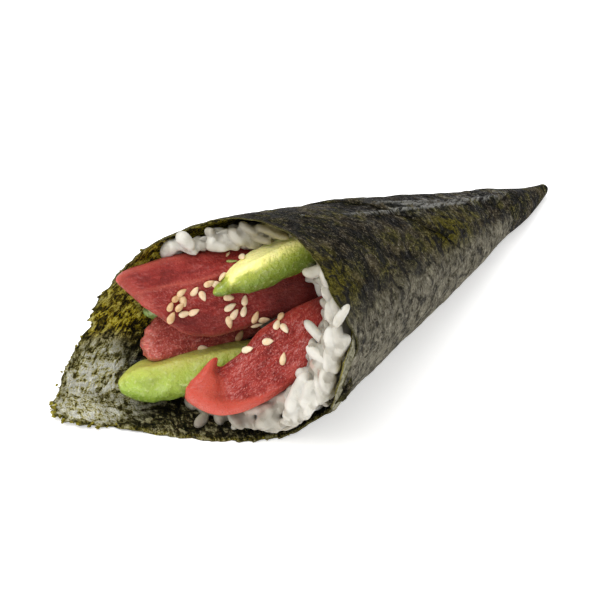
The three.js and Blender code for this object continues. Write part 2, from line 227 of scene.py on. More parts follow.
class Nodes:
    """Short names for the nodes that the materials below are made of."""

    def __init__(self, nt):
        self.nt = nt

    def put(self, socket, value):
        if isinstance(value, bpy.types.NodeSocket):
            self.nt.links.new(value, socket)
        elif isinstance(value, (tuple, list)) and len(value) == 3 and socket.type == "RGBA":
            socket.default_value = (*value, 1.0)
        else:
            socket.default_value = value

    def coord(self, kind="Object"):
        return self.nt.nodes.new("ShaderNodeTexCoord").outputs[kind]

    def attr(self, name, out="Fac"):
        n = self.nt.nodes.new("ShaderNodeAttribute")
        n.attribute_name = name
        return n.outputs[out]

    def stretch(self, vec, scale, rotation=(0, 0, 0)):
        n = self.nt.nodes.new("ShaderNodeMapping")
        self.put(n.inputs["Vector"], vec)
        n.inputs["Scale"].default_value = scale
        n.inputs["Rotation"].default_value = rotation
        return n.outputs[0]

    def noise(self, vec, scale, detail=4.0, rough=0.55, distortion=0.0, out=0):
        n = self.nt.nodes.new("ShaderNodeTexNoise")
        self.put(n.inputs["Vector"], vec)
        n.inputs["Scale"].default_value = scale
        n.inputs["Detail"].default_value = detail
        n.inputs["Roughness"].default_value = rough
        n.inputs["Distortion"].default_value = distortion
        return n.outputs[out]

    def voronoi(self, vec, scale, feature="F1", out="Distance", smoothness=None):
        n = self.nt.nodes.new("ShaderNodeTexVoronoi")
        n.feature = feature
        self.put(n.inputs["Vector"], vec)
        n.inputs["Scale"].default_value = scale
        if smoothness is not None and "Smoothness" in n.inputs:
            n.inputs["Smoothness"].default_value = smoothness
        return n.outputs[out]

    def vec(self, op, a, b=None, scale=None):
        n = self.nt.nodes.new("ShaderNodeVectorMath")
        n.operation = op
        self.put(n.inputs[0], a)
        if b is not None:
            self.put(n.inputs[1], b)
        if scale is not None:
            n.inputs["Scale"].default_value = scale
        return n.outputs[0]

    def warp(self, vec, amount, scale, detail=2.0):
        """The same coordinates, stirred by noise."""
        w = self.vec("SUBTRACT", self.noise(vec, scale, detail, 0.5, 0.0, 1), (0.5, 0.5, 0.5))
        return self.vec("ADD", vec, self.vec("SCALE", w, scale=amount))

    def cells(self, vec, scale):
        """A value of its own, 0 to 1, in every cell."""
        n = self.nt.nodes.new("ShaderNodeSeparateColor")
        self.put(n.inputs[0], self.voronoi(vec, scale, "F1", "Color"))
        return n.outputs[0]

    def blend(self, *pairs):
        """A weighted sum."""
        total = None
        for v, w in pairs:
            part = self.math("MULTIPLY", v, w)
            total = part if total is None else self.math("ADD", total, part)
        return total

    def ramp(self, fac, stops, mode="LINEAR"):
        n = self.nt.nodes.new("ShaderNodeValToRGB")
        self.put(n.inputs[0], fac)
        e = n.color_ramp.elements
        n.color_ramp.interpolation = mode
        while len(e) < len(stops):
            e.new(0.5)
        for k, (pos, col) in enumerate(stops):
            e[k].position = pos
            e[k].color = (*col, 1.0) if isinstance(col, (tuple, list)) else (col, col, col, 1.0)
        return n.outputs[0]

    def mix(self, fac, a, b, mode="MIX"):
        n = self.nt.nodes.new("ShaderNodeMix")
        n.data_type = "RGBA"
        n.blend_type = mode
        n.clamp_factor = True
        self.put(n.inputs["Factor"], fac)
        self.put(n.inputs["A"] if n.inputs["A"].type == "RGBA" else n.inputs[6], a)
        self.put(n.inputs[7], b)
        return n.outputs[2]

    def math(self, op, a, b=0.0, c=None, clamp=False):
        n = self.nt.nodes.new("ShaderNodeMath")
        n.operation = op
        n.use_clamp = clamp
        self.put(n.inputs[0], a)
        self.put(n.inputs[1], b)
        if c is not None:
            self.put(n.inputs[2], c)
        return n.outputs[0]

    def remap(self, v, lo, hi, to_lo=0.0, to_hi=1.0):
        n = self.nt.nodes.new("ShaderNodeMapRange")
        n.clamp = True
        self.put(n.inputs["Value"], v)
        n.inputs["From Min"].default_value = lo
        n.inputs["From Max"].default_value = hi
        n.inputs["To Min"].default_value = to_lo
        n.inputs["To Max"].default_value = to_hi
        return n.outputs[0]

    def bump(self, height, distance, strength=1.0, normal=None):
        n = self.nt.nodes.new("ShaderNodeBump")
        n.inputs["Strength"].default_value = strength
        n.inputs["Distance"].default_value = distance
        self.put(n.inputs["Height"], height)
        if normal is not None:
            self.put(n.inputs["Normal"], normal)
        return n.outputs[0]


def nori_outside():
    m, nt, bsdf = new_material("nori_outside")
    N = Nodes(nt)
    s = N.attr("sheet", "Vector")  # millimetres on the flat sheet
    patch = N.noise(s, 0.10, 3, 0.55, 0.8)
    mid = N.noise(s, 0.30, 4, 0.60, 0.9)
    fine = N.noise(s, 0.95, 4, 0.68, 0.9)
    speck = N.noise(s, 2.6, 3, 0.70, 0.6)
    hue = N.noise(s, 0.17, 3, 0.6, 0.5)
    crease = N.noise(N.stretch(s, (0.16, 0.62, 1)), 1.0, 3, 0.55, 0.9)
    # a dense black-brown sheet, here a little redder, there a little greener
    tone = N.blend((N.remap(patch, 0.42, 0.58), 0.36), (N.remap(mid, 0.40, 0.60), 0.40), (N.remap(fine, 0.36, 0.64), 0.24))
    brown = N.ramp(tone, [(0.20, (0.0022, 0.0015, 0.0010)), (0.42, (0.0090, 0.0065, 0.0036)), (0.60, (0.026, 0.0200, 0.0105)), (0.82, (0.080, 0.064, 0.033))])
    green = N.ramp(tone, [(0.20, (0.0014, 0.0016, 0.0009)), (0.42, (0.0068, 0.0070, 0.0030)), (0.60, (0.0210, 0.0200, 0.0080)), (0.82, (0.068, 0.062, 0.023))])
    col = N.mix(N.remap(hue, 0.44, 0.56), brown, green)
    # speckled with thin olive and beige spots where it is worn
    grain = N.blend((fine, 0.50), (speck, 0.50))
    wear_and_table_sheen = N.remap(N.blend((patch, 0.45), (mid, 0.55)), 0.44, 0.56, 0.10, 1.0)
    spots = N.math("MULTIPLY", N.remap(grain, 0.505, 0.58), wear_and_table_sheen)
    olive = N.ramp(speck, [(0.35, (0.100, 0.085, 0.0060)), (0.65, (0.31, 0.265, 0.045))])
    beige = N.ramp(speck, [(0.35, (0.110, 0.090, 0.058)), (0.65, (0.30, 0.260, 0.185))])
    green_at = N.math("MAXIMUM", N.remap(hue, 0.515, 0.565), N.attr("olive"))
    col = N.mix(N.math("MULTIPLY", spots, 0.60), col, N.mix(green_at, beige, olive))
    # painted glints: pale beige specks in the base colour stand in for small highlights
    painted_glint = N.math("MULTIPLY", N.remap(speck, 0.57, 0.63), N.remap(fine, 0.50, 0.58))
    col = N.mix(N.math("MULTIPLY", painted_glint, 0.45), col, (0.40, 0.37, 0.27))
    wash = N.math("MULTIPLY", N.attr("olive"), N.remap(mid, 0.44, 0.54, 0.0, 0.80))
    col = N.mix(wash, col, N.ramp(grain, [(0.38, (0.012, 0.0105, 0.0008)), (0.49, (0.085, 0.072, 0.0048)), (0.60, (0.22, 0.19, 0.022))]))
    # the flank near the table is painted a lighter, mottled grey-brown: a painted reflection of the white table
    painted_table_sheen = N.ramp(N.blend((mid, 0.44), (fine, 0.40), (speck, 0.16)), [
        (0.385, (0.048, 0.042, 0.026)), (0.455, (0.130, 0.116, 0.080)), (0.53, (0.245, 0.224, 0.165)), (0.61, (0.44, 0.41, 0.315))])
    # painted shade: dark lines along the creases of that flank
    dark = N.remap(N.math("ABSOLUTE", N.math("SUBTRACT", crease, 0.5)), 0.0, 0.036, 0.95, 0.0)
    painted_table_sheen = N.mix(N.math("MULTIPLY", dark, N.remap(fine, 0.40, 0.55)), painted_table_sheen, (0.020, 0.018, 0.011))
    painted_table_sheen_at = N.math("MULTIPLY", N.attr("painted_table_sheen"), N.remap(N.blend((mid, 0.65), (fine, 0.35)), 0.42, 0.50, 0.30, 1.0))
    col = N.mix(painted_table_sheen_at, col, painted_table_sheen)
    # the crests of the folds get pale grey streaks: a painted highlight
    streak = N.remap(N.noise(N.stretch(s, (0.30, 1.6, 1)), 1.0, 4, 0.65, 0.6), 0.43, 0.55)
    col = N.mix(N.math("MULTIPLY", N.attr("crest_highlight"), streak), col, (0.27, 0.268, 0.245))
    # painted light: inside the rim the lap of the sheet beneath is painted as a paler grey-green band
    painted_lit_band = N.ramp(N.blend((fine, 0.6), (mid, 0.4)), [(0.40, (0.13, 0.120, 0.066)), (0.50, (0.33, 0.312, 0.205)), (0.60, (0.52, 0.50, 0.35))])
    col = N.mix(N.attr("painted_lit_band"), col, painted_lit_band)
    # thin ragged edges let light through and look yellow-green
    edge = N.remap(N.math("ADD", N.attr("edge"), N.math("MULTIPLY", mid, 2.2)), 1.1, 2.1, 0.75, 0.0)
    col = N.mix(edge, col, N.ramp(grain, [(0.40, (0.018, 0.016, 0.0012)), (0.52, (0.085, 0.075, 0.007)), (0.64, (0.24, 0.22, 0.05))]))
    N.put(bsdf.inputs["Base Color"], col)
    N.put(bsdf.inputs["Roughness"], N.remap(mid, 0.35, 0.62, 0.50, 0.80))
    bsdf.inputs["Specular IOR Level"].default_value = 0.03
    shine = N.math("MULTIPLY", N.remap(fine, 0.50, 0.60), N.math("ADD", N.math("MULTIPLY", N.attr("gloss"), 0.50), 0.05))
    N.put(bsdf.inputs["Coat Weight"], shine)
    bsdf.inputs["Coat Roughness"].default_value = 0.26
    h = N.blend((fine, 0.8), (speck, 0.20), (mid, 1.2), (crease, 0.9))
    N.put(bsdf.inputs["Normal"], N.bump(h, 0.0018, 1.0))
    return m


def nori_inside():
    m, nt, bsdf = new_material("nori_inside")
    N = Nodes(nt)
    s = N.attr("sheet", "Vector")
    big = N.noise(s, 0.10, 3, 0.6, 0.6)
    mid = N.noise(s, 0.33, 4, 0.62, 1.1)
    fine = N.noise(s, 1.25, 3, 0.66, 1.0)
    speck = N.noise(s, 3.0, 2, 0.60, 0.5)
    strand = N.noise(N.stretch(s, (0.42, 1.7, 1), (0, 0, 0.10)), 1.0, 4, 0.62, 1.0)
    crumple = N.noise(N.stretch(s, (0.9, 0.32, 1), (0, 0, 0.55)), 1.0, 3, 0.6, 0.8)
    tone = N.blend((N.remap(mid, 0.40, 0.60), 0.34), (N.remap(fine, 0.36, 0.64), 0.24), (N.remap(speck, 0.34, 0.66), 0.14), (N.remap(strand, 0.40, 0.60), 0.28))
    # painted shade: thin dark lines along the crinkles
    line = N.remap(N.math("ABSOLUTE", N.math("SUBTRACT", crumple, 0.5)), 0.0, 0.022, 0.30, 0.0)
    tone = N.math("SUBTRACT", N.remap(tone, 0.26, 0.74), line)
    dark = N.ramp(tone, [
        (0.0, (0.0015, 0.0012, 0.0004)), (0.30, (0.010, 0.0084, 0.0024)), (0.52, (0.038, 0.031, 0.0090)),
        (0.76, (0.115, 0.100, 0.036)), (1.0, (0.42, 0.39, 0.22))])
    gold = N.ramp(tone, [
        (0.0, (0.004, 0.0028, 0.0003)), (0.18, (0.042, 0.028, 0.0008)), (0.40, (0.23, 0.158, 0.0030)),
        (0.64, (0.68, 0.53, 0.014)), (0.95, (0.98, 0.88, 0.16))])
    # painted sheen: at the left of the tongue the sheet is painted near white, for the glints of light on it
    painted_sheen = N.ramp(tone, [
        (0.0, (0.085, 0.070, 0.010)), (0.12, (0.26, 0.225, 0.045)), (0.28, (0.66, 0.60, 0.22)), (0.46, (0.96, 0.92, 0.55)), (0.70, (1.0, 1.0, 0.88))])
    gold_at = N.math("MULTIPLY", N.attr("gold"), N.remap(N.blend((big, 0.6), (mid, 0.4)), 0.42, 0.53, 0.40, 1.0))
    col = N.mix(gold_at, dark, gold)
    painted_sheen_at = N.math("MULTIPLY", N.attr("painted_sheen"), N.remap(N.blend((mid, 0.6), (big, 0.4)), 0.40, 0.50, 0.60, 1.0))
    col = N.mix(painted_sheen_at, col, painted_sheen)
    # the thin ragged edge is painted yellow-green, for the light that comes through it
    edge = N.remap(N.math("ADD", N.attr("edge"), N.math("MULTIPLY", mid, 4.5)), 2.3, 4.2, 0.95, 0.0)
    col = N.mix(edge, col, N.ramp(tone, [(0.0, (0.012, 0.010, 0.0006)), (0.35, (0.11, 0.092, 0.005)), (0.65, (0.34, 0.30, 0.05)), (0.95, (0.66, 0.62, 0.28))]))
    N.put(bsdf.inputs["Base Color"], col)
    N.put(bsdf.inputs["Roughness"], N.remap(strand, 0.40, 0.60, 0.42, 0.70))
    bsdf.inputs["Specular IOR Level"].default_value = 0.10
    shine = N.math("MULTIPLY", N.remap(fine, 0.50, 0.58), N.math("SUBTRACT", 0.60, N.math("MULTIPLY", N.attr("painted_sheen"), 0.30)))
    N.put(bsdf.inputs["Coat Weight"], shine)
    bsdf.inputs["Coat Roughness"].default_value = 0.14
    h = N.blend((fine, 0.8), (mid, 1.2), (strand, 0.9), (speck, 0.2), (crumple, 0.8))
    N.put(bsdf.inputs["Normal"], N.bump(h, 0.0022, 1.0))
    return m


def tuna_flesh(name, deep, mid_c, light, rim_c):
    m, nt, bsdf = new_material(name)
    N = Nodes(nt)
    g = N.attr("grain", "Vector")  # millimetres: along the slice, across it, through it
    fibre = N.noise(N.stretch(g, (0.16, 0.95, 0.95), (0, 0, 0.18)), 1.0, 4, 0.62, 0.8)
    fleck = N.noise(g, 1.5, 3, 0.66, 0.6)
    cloud = N.noise(g, 0.13, 3, 0.55, 0.6)
    fine = N.noise(g, 3.0, 2, 0.55)
    tone = N.blend((N.remap(cloud, 0.34, 0.66), 0.46), (N.remap(fibre, 0.34, 0.66), 0.30), (N.remap(fleck, 0.34, 0.66), 0.24))
    col = N.ramp(tone, [(0.18, deep), (0.50, mid_c), (0.86, light)])
    pink = tuple(0.66 * a + 0.34 * b for a, b in zip(light, (0.95, 0.52, 0.44)))
    # pale connective fibres
    line = N.remap(N.math("ABSOLUTE", N.math("SUBTRACT", fibre, 0.53)), 0.0, 0.018, 0.26, 0.0)
    line = N.math("MULTIPLY", line, N.remap(fleck, 0.46, 0.58))
    col = N.mix(line, col, pink)
    # painted highlight: the edges of the slice are paler, for the light along them and through the thin flesh
    col = N.mix(N.attr("rim"), col, rim_c)
    # painted glints: tiny pale pink dots in the base colour stand in for the glistening of the wet flesh
    painted_sparkle = N.remap(N.blend((fleck, 0.35), (fine, 0.65)), 0.545, 0.61, 0.0, 0.72)
    painted_sparkle = N.math("MULTIPLY", painted_sparkle, N.math("ADD", N.math("MULTIPLY", N.attr("wet_sheen"), 0.85), 0.04))
    col = N.mix(painted_sparkle, col, pink)
    # painted shade: deep in the roll the flesh is painted near-black red
    col = N.mix(N.attr("painted_shade"), col, (0.045, 0.010, 0.0085))
    N.put(bsdf.inputs["Base Color"], col)
    N.put(bsdf.inputs["Roughness"], N.remap(fine, 0.38, 0.62, 0.34, 0.60))
    bsdf.inputs["Specular IOR Level"].default_value = 0.20
    # the wet surface glints
    shine = N.math("MULTIPLY", N.remap(N.blend((cloud, 0.3), (fleck, 0.7)), 0.48, 0.58), N.math("ADD", N.math("MULTIPLY", N.attr("wet_sheen"), 0.45), 0.30))
    N.put(bsdf.inputs["Coat Weight"], shine)
    bsdf.inputs["Coat Roughness"].default_value = 0.10
    bsdf.inputs["Subsurface Weight"].default_value = 0.35
    bsdf.inputs["Subsurface Radius"].default_value = (1.0, 0.20, 0.10)
    bsdf.inputs["Subsurface Scale"].default_value = 0.0022
    h = N.blend((fleck, 1.0), (fine, 0.45), (fibre, 0.5))
    N.put(bsdf.inputs["Normal"], N.bump(h, 0.0006, 0.7))
    return m


def avocado_flesh(name, stops, roughness=0.3):
    m, nt, bsdf = new_material(name)
    N = Nodes(nt)
    o = N.coord()
    lump = N.noise(o, 260, 4, 0.55, 0.4)
    fine = N.noise(o, 1300, 2, 0.55)
    skin = N.math("ADD", N.attr("skin"), N.math("MULTIPLY", N.math("SUBTRACT", lump, 0.5), 0.50))
    skin = N.math("ADD", skin, N.math("MULTIPLY", N.math("SUBTRACT", fine, 0.5), 0.18))
    col = N.ramp(skin, stops)
    green = N.remap(N.attr("skin"), 0.12, 0.3)
    col = N.mix(N.math("MULTIPLY", green, N.remap(lump, 0.48, 0.36, 0.0, 0.45)), col, tuple(0.5 * c for c in stops[-2][1]))
    # painted highlights: pale yellow-green specks on the skin side
    col = N.mix(N.math("MULTIPLY", green, N.remap(fine, 0.56, 0.70, 0.0, 0.30)), col, (0.80, 0.84, 0.42))
    spots = N.remap(N.voronoi(o, 260, "F1", "Distance"), 0.10, 0.17, 1.0, 0.0)
    spots = N.math("MULTIPLY", spots, N.attr("spots"))
    col = N.mix(spots, col, (0.36, 0.19, 0.05))
    # painted shade: deep under the rim the flesh is painted dark green
    col = N.mix(N.attr("painted_shade"), col, (0.085, 0.085, 0.008))
    N.put(bsdf.inputs["Base Color"], col)
    N.put(bsdf.inputs["Roughness"], N.remap(lump, 0.35, 0.65, roughness, roughness + 0.22))
    bsdf.inputs["Specular IOR Level"].default_value = 0.42
    wet_sheen = N.math("MULTIPLY", N.remap(N.noise(o, 520, 2, 0.6, 0.4), 0.50, 0.60), N.remap(N.attr("skin"), 0.0, 0.25, 0.15, 0.9))
    N.put(bsdf.inputs["Coat Weight"], wet_sheen)
    bsdf.inputs["Coat Roughness"].default_value = 0.12
    bsdf.inputs["Subsurface Weight"].default_value = 0.30
    bsdf.inputs["Subsurface Radius"].default_value = (0.8, 1.0, 0.25)
    bsdf.inputs["Subsurface Scale"].default_value = 0.0018
    h = N.blend((lump, 1.0), (fine, 0.45))
    N.put(bsdf.inputs["Normal"], N.bump(h, 0.0009, 0.9))
    return m


def rice_white():
    m, nt, bsdf = new_material("cooked_rice")
    N = Nodes(nt)
    o = N.coord()
    cloud = N.noise(o, 330, 4, 0.6, 0.3)
    fine = N.noise(o, 1300, 2, 0.55)
    chalk_and_light = N.attr("chalk_and_light")  # 0 glassy and grey, 1 opaque and white; set per grain, lower as painted shade and higher as painted light
    fac = N.blend((cloud, 0.38), (chalk_and_light, 0.62))
    col = N.ramp(fac, [(0.22, (0.25, 0.228, 0.185)), (0.42, (0.385, 0.362, 0.305)), (0.64, (0.53, 0.512, 0.455)), (0.85, (0.64, 0.625, 0.575))])
    # painted shade tinged pink, for the light off the tuna onto the rice under it
    col = N.mix(N.attr("pink_shade"), col, (0.66, 0.42, 0.36))
    col = N.mix(N.attr("shade"), col, (0.205, 0.175, 0.065))
    col = N.mix(N.attr("dark"), col, (0.020, 0.018, 0.002))
    N.put(bsdf.inputs["Base Color"], col)
    N.put(bsdf.inputs["Roughness"], N.remap(cloud, 0.35, 0.65, 0.24, 0.46))
    bsdf.inputs["Specular IOR Level"].default_value = 0.42
    bsdf.inputs["Subsurface Weight"].default_value = 0.70
    bsdf.inputs["Subsurface Radius"].default_value = (1.0, 0.90, 0.74)
    bsdf.inputs["Subsurface Scale"].default_value = 0.0020
    h = N.blend((cloud, 0.8), (fine, 0.40))
    N.put(bsdf.inputs["Normal"], N.bump(h, 0.0005, 0.5))
    return m


def sesame():
    m, nt, bsdf = new_material("sesame")
    N = Nodes(nt)
    o = N.coord()
    mott = N.noise(o, 900, 4, 0.6)
    fac = N.math("ADD", N.math("MULTIPLY", mott, 0.5), N.math("MULTIPLY", N.attr("toast"), 0.5))
    col = N.ramp(fac, [(0.28, (0.84, 0.71, 0.51)), (0.46, (0.76, 0.56, 0.33)), (0.66, (0.56, 0.31, 0.12)), (0.88, (0.28, 0.11, 0.030))])
    N.put(bsdf.inputs["Base Color"], col)
    N.put(bsdf.inputs["Roughness"], N.remap(mott, 0.35, 0.65, 0.32, 0.5))
    bsdf.inputs["Subsurface Weight"].default_value = 0.2
    bsdf.inputs["Subsurface Radius"].default_value = (1.0, 0.7, 0.4)
    bsdf.inputs["Subsurface Scale"].default_value = 0.0005
    N.put(bsdf.inputs["Normal"], N.bump(mott, 0.0001, 0.5))
    return m


def leaf_green():
    m, nt, bsdf = new_material("green_fleck")
    N = Nodes(nt)
    n = N.noise(N.coord(), 1600, 3, 0.6)
    N.put(bsdf.inputs["Base Color"], N.ramp(n, [(0.35, (0.16, 0.22, 0.03)), (0.62, (0.42, 0.46, 0.14))]))
    N.put(bsdf.inputs["Roughness"], N.remap(n, 0.3, 0.7, 0.35, 0.55))
    N.put(bsdf.inputs["Normal"], N.bump(n, 0.0001, 0.5))
    return m


# ------------------------------------------------------------------------------------------------ nori
RIM = [
    (66, 108), (72, 111.5), (78, 116.5), (84, 120), (92, 121.2), (102, 122.8), (114, 120.8), (126, 115.6), (138, 112.5), (150, 114.5),
    (162, 119.3), (174, 124.2), (186, 129.6), (198, 134.9), (207, 138.6), (211, 141.0), (216, 142.6), (222, 142.0), (228, 139.9), (235, 137.0), (246, 131.9), (258, 129.6),
    (270, 128.5), (282, 126), (294, 122.4), (306, 117.2), (318, 112.2), (342, 112), (366, 112), (378, 112.5),
    (390, 113.6), (402, 116.2), (414, 118.2), (426, 117.8), (438, 114.6), (445, 114.0), (451, 115.8), (456, 118.2), (461, 118.8),
    (467, 116.2), (474, 113.4), (486, 110.5), (498, 106.5), (534, 102.5), (570, 99), (606, 95.5), (642, 91.5), (678, 85), (714, 75),
    (738, 70.5), (762, 63), (786, 56), (798, 51)]
ROOT = [(66, 12), (430, 12), (440, 2.2), (702, 2.2), (726, 13), (750, 25.4), (774, 37), (798, 49.5)]


def depth_at(phi):
    return (PHI_OUT - phi) / 360 * NORI_PITCH


def inner_lap(phi, u):
    outer = table_at(RIM, phi + 360)
    return np.where(phi > 160, 0.0, -0.85 * smooth((u - outer - 0.2) / 1.3) * smooth((phi - 66) / 8) * (1 - smooth((phi - 120) / 30)))


def fold(az, u, a0, u0, a1, u1, width, height):
    """A soft crease from one point of the cone to another, in millimetres outwards."""
    k = CONE_K * 0.5 * (u0 + u1) * math.pi / 180
    x, y = ((az - a0 + 180) % 360 - 180) * k, u - u0
    dx, dy = ((a1 - a0 + 180) % 360 - 180) * k, u1 - u0
    ll = dx * dx + dy * dy
    t = np.clip((x * dx + y * dy) / ll, 0, 1)
    d2 = (x - t * dx) ** 2 + (y - t * dy) ** 2
    return height * np.exp(-d2 / (width * width)) * np.sin(np.pi * np.clip(0.08 + 0.84 * t, 0, 1))


FOLDS = [
    # az0, u0, az1, u1, width, height: long folds that run round the top, then shorter ones on the front
    (356, 92, 343, 64, 0.60, 0.50), (350, 78, 339, 52, 0.55, 0.46), (353, 68, 341, 42, 0.60, 0.56), (346, 62, 337, 38, 0.50, 0.40),
    (351, 52, 340, 26, 0.55, 0.44), (343, 42, 335, 22, 0.45, 0.34), (1, 76, 351, 50, 0.60, 0.48), (348, 58, 343, 34, 0.9, -0.45), (2, 88, 12, 66, 1.6, -0.4),
    (318, 44, 334, 22, 1.2, -0.32), (300, 66, 318, 42, 1.4, 0.34), (322, 84, 334, 62, 1.3, 0.36), (330, 104, 338, 84, 1.5, 0.34),
    (285, 98, 300, 76, 1.5, 0.42), (266, 104, 284, 86, 1.4, -0.36), (250, 92, 264, 66, 1.5, 0.34), (262, 74, 276, 50, 1.3, -0.34),
    (300, 108, 312, 92, 1.2, 0.34), (276, 84, 288, 66, 1.2, 0.3), (246, 70, 262, 48, 1.2, -0.3)]


def crinkle(u, az):
    """How far the rolled sheet stands out from the smooth cone, the same for every layer."""
    p = cone_point(u, az, 0.6)
    k = smooth((u - 3) / 30)
    d = 0.34 * fbm(p, 21, 2, 3) * k
    d = d + 0.22 * fbm(p * np.array([0.7, 1, 1]), 6.5, 3, 5) * (0.35 + 0.65 * k)
    d = d + 0.11 * ridged(p, 3.1, 2, 9) * (0.4 + 0.6 * k)
    for f in FOLDS:
        d = d + fold(az, u, *f)
    # creases that run down the front flank
    flank = bump(az, 278, 46) * smooth((u - 40) / 25)
    q = np.stack([u, ((az + 180) % 360 - 180) * CONE_K * u * math.pi / 180 * 0.33, 0 * u], -1)
    return d + flank * 0.17 * ridged(q, 4.2, 2, 15)


def nori_edge(phi):
    """The ragged outline of the sheet."""
    p = np.stack([np.cos(np.radians(phi)) * 30 + phi * 0.45, phi * 0.47, phi * 0.0], -1)
    rag = 0.35 * noise(p, 4.1, 21) + 0.30 * noise(p, 1.7, 22) + 0.18 * noise(p, 0.8, 23)
    # the far corner of the tongue and its lower edge are tattered
    q = np.clip(phi, 60, 330)
    torn = 1.25 * bump(q, 218, 24) + 0.6 * bump(q, 176, 34) + 0.6 * bump(q, 262, 34)
    rag = rag + torn * (1.0 * noise(p, 2.6, 31) + 1.05 * noise(p, 1.15, 32) + 0.6 * noise(p, 0.7, 33))
    rag = rag + 0.5 * bump(np.clip(phi, 380, 520), 470, 34) * noise(p, 2.2, 41)
    return rag


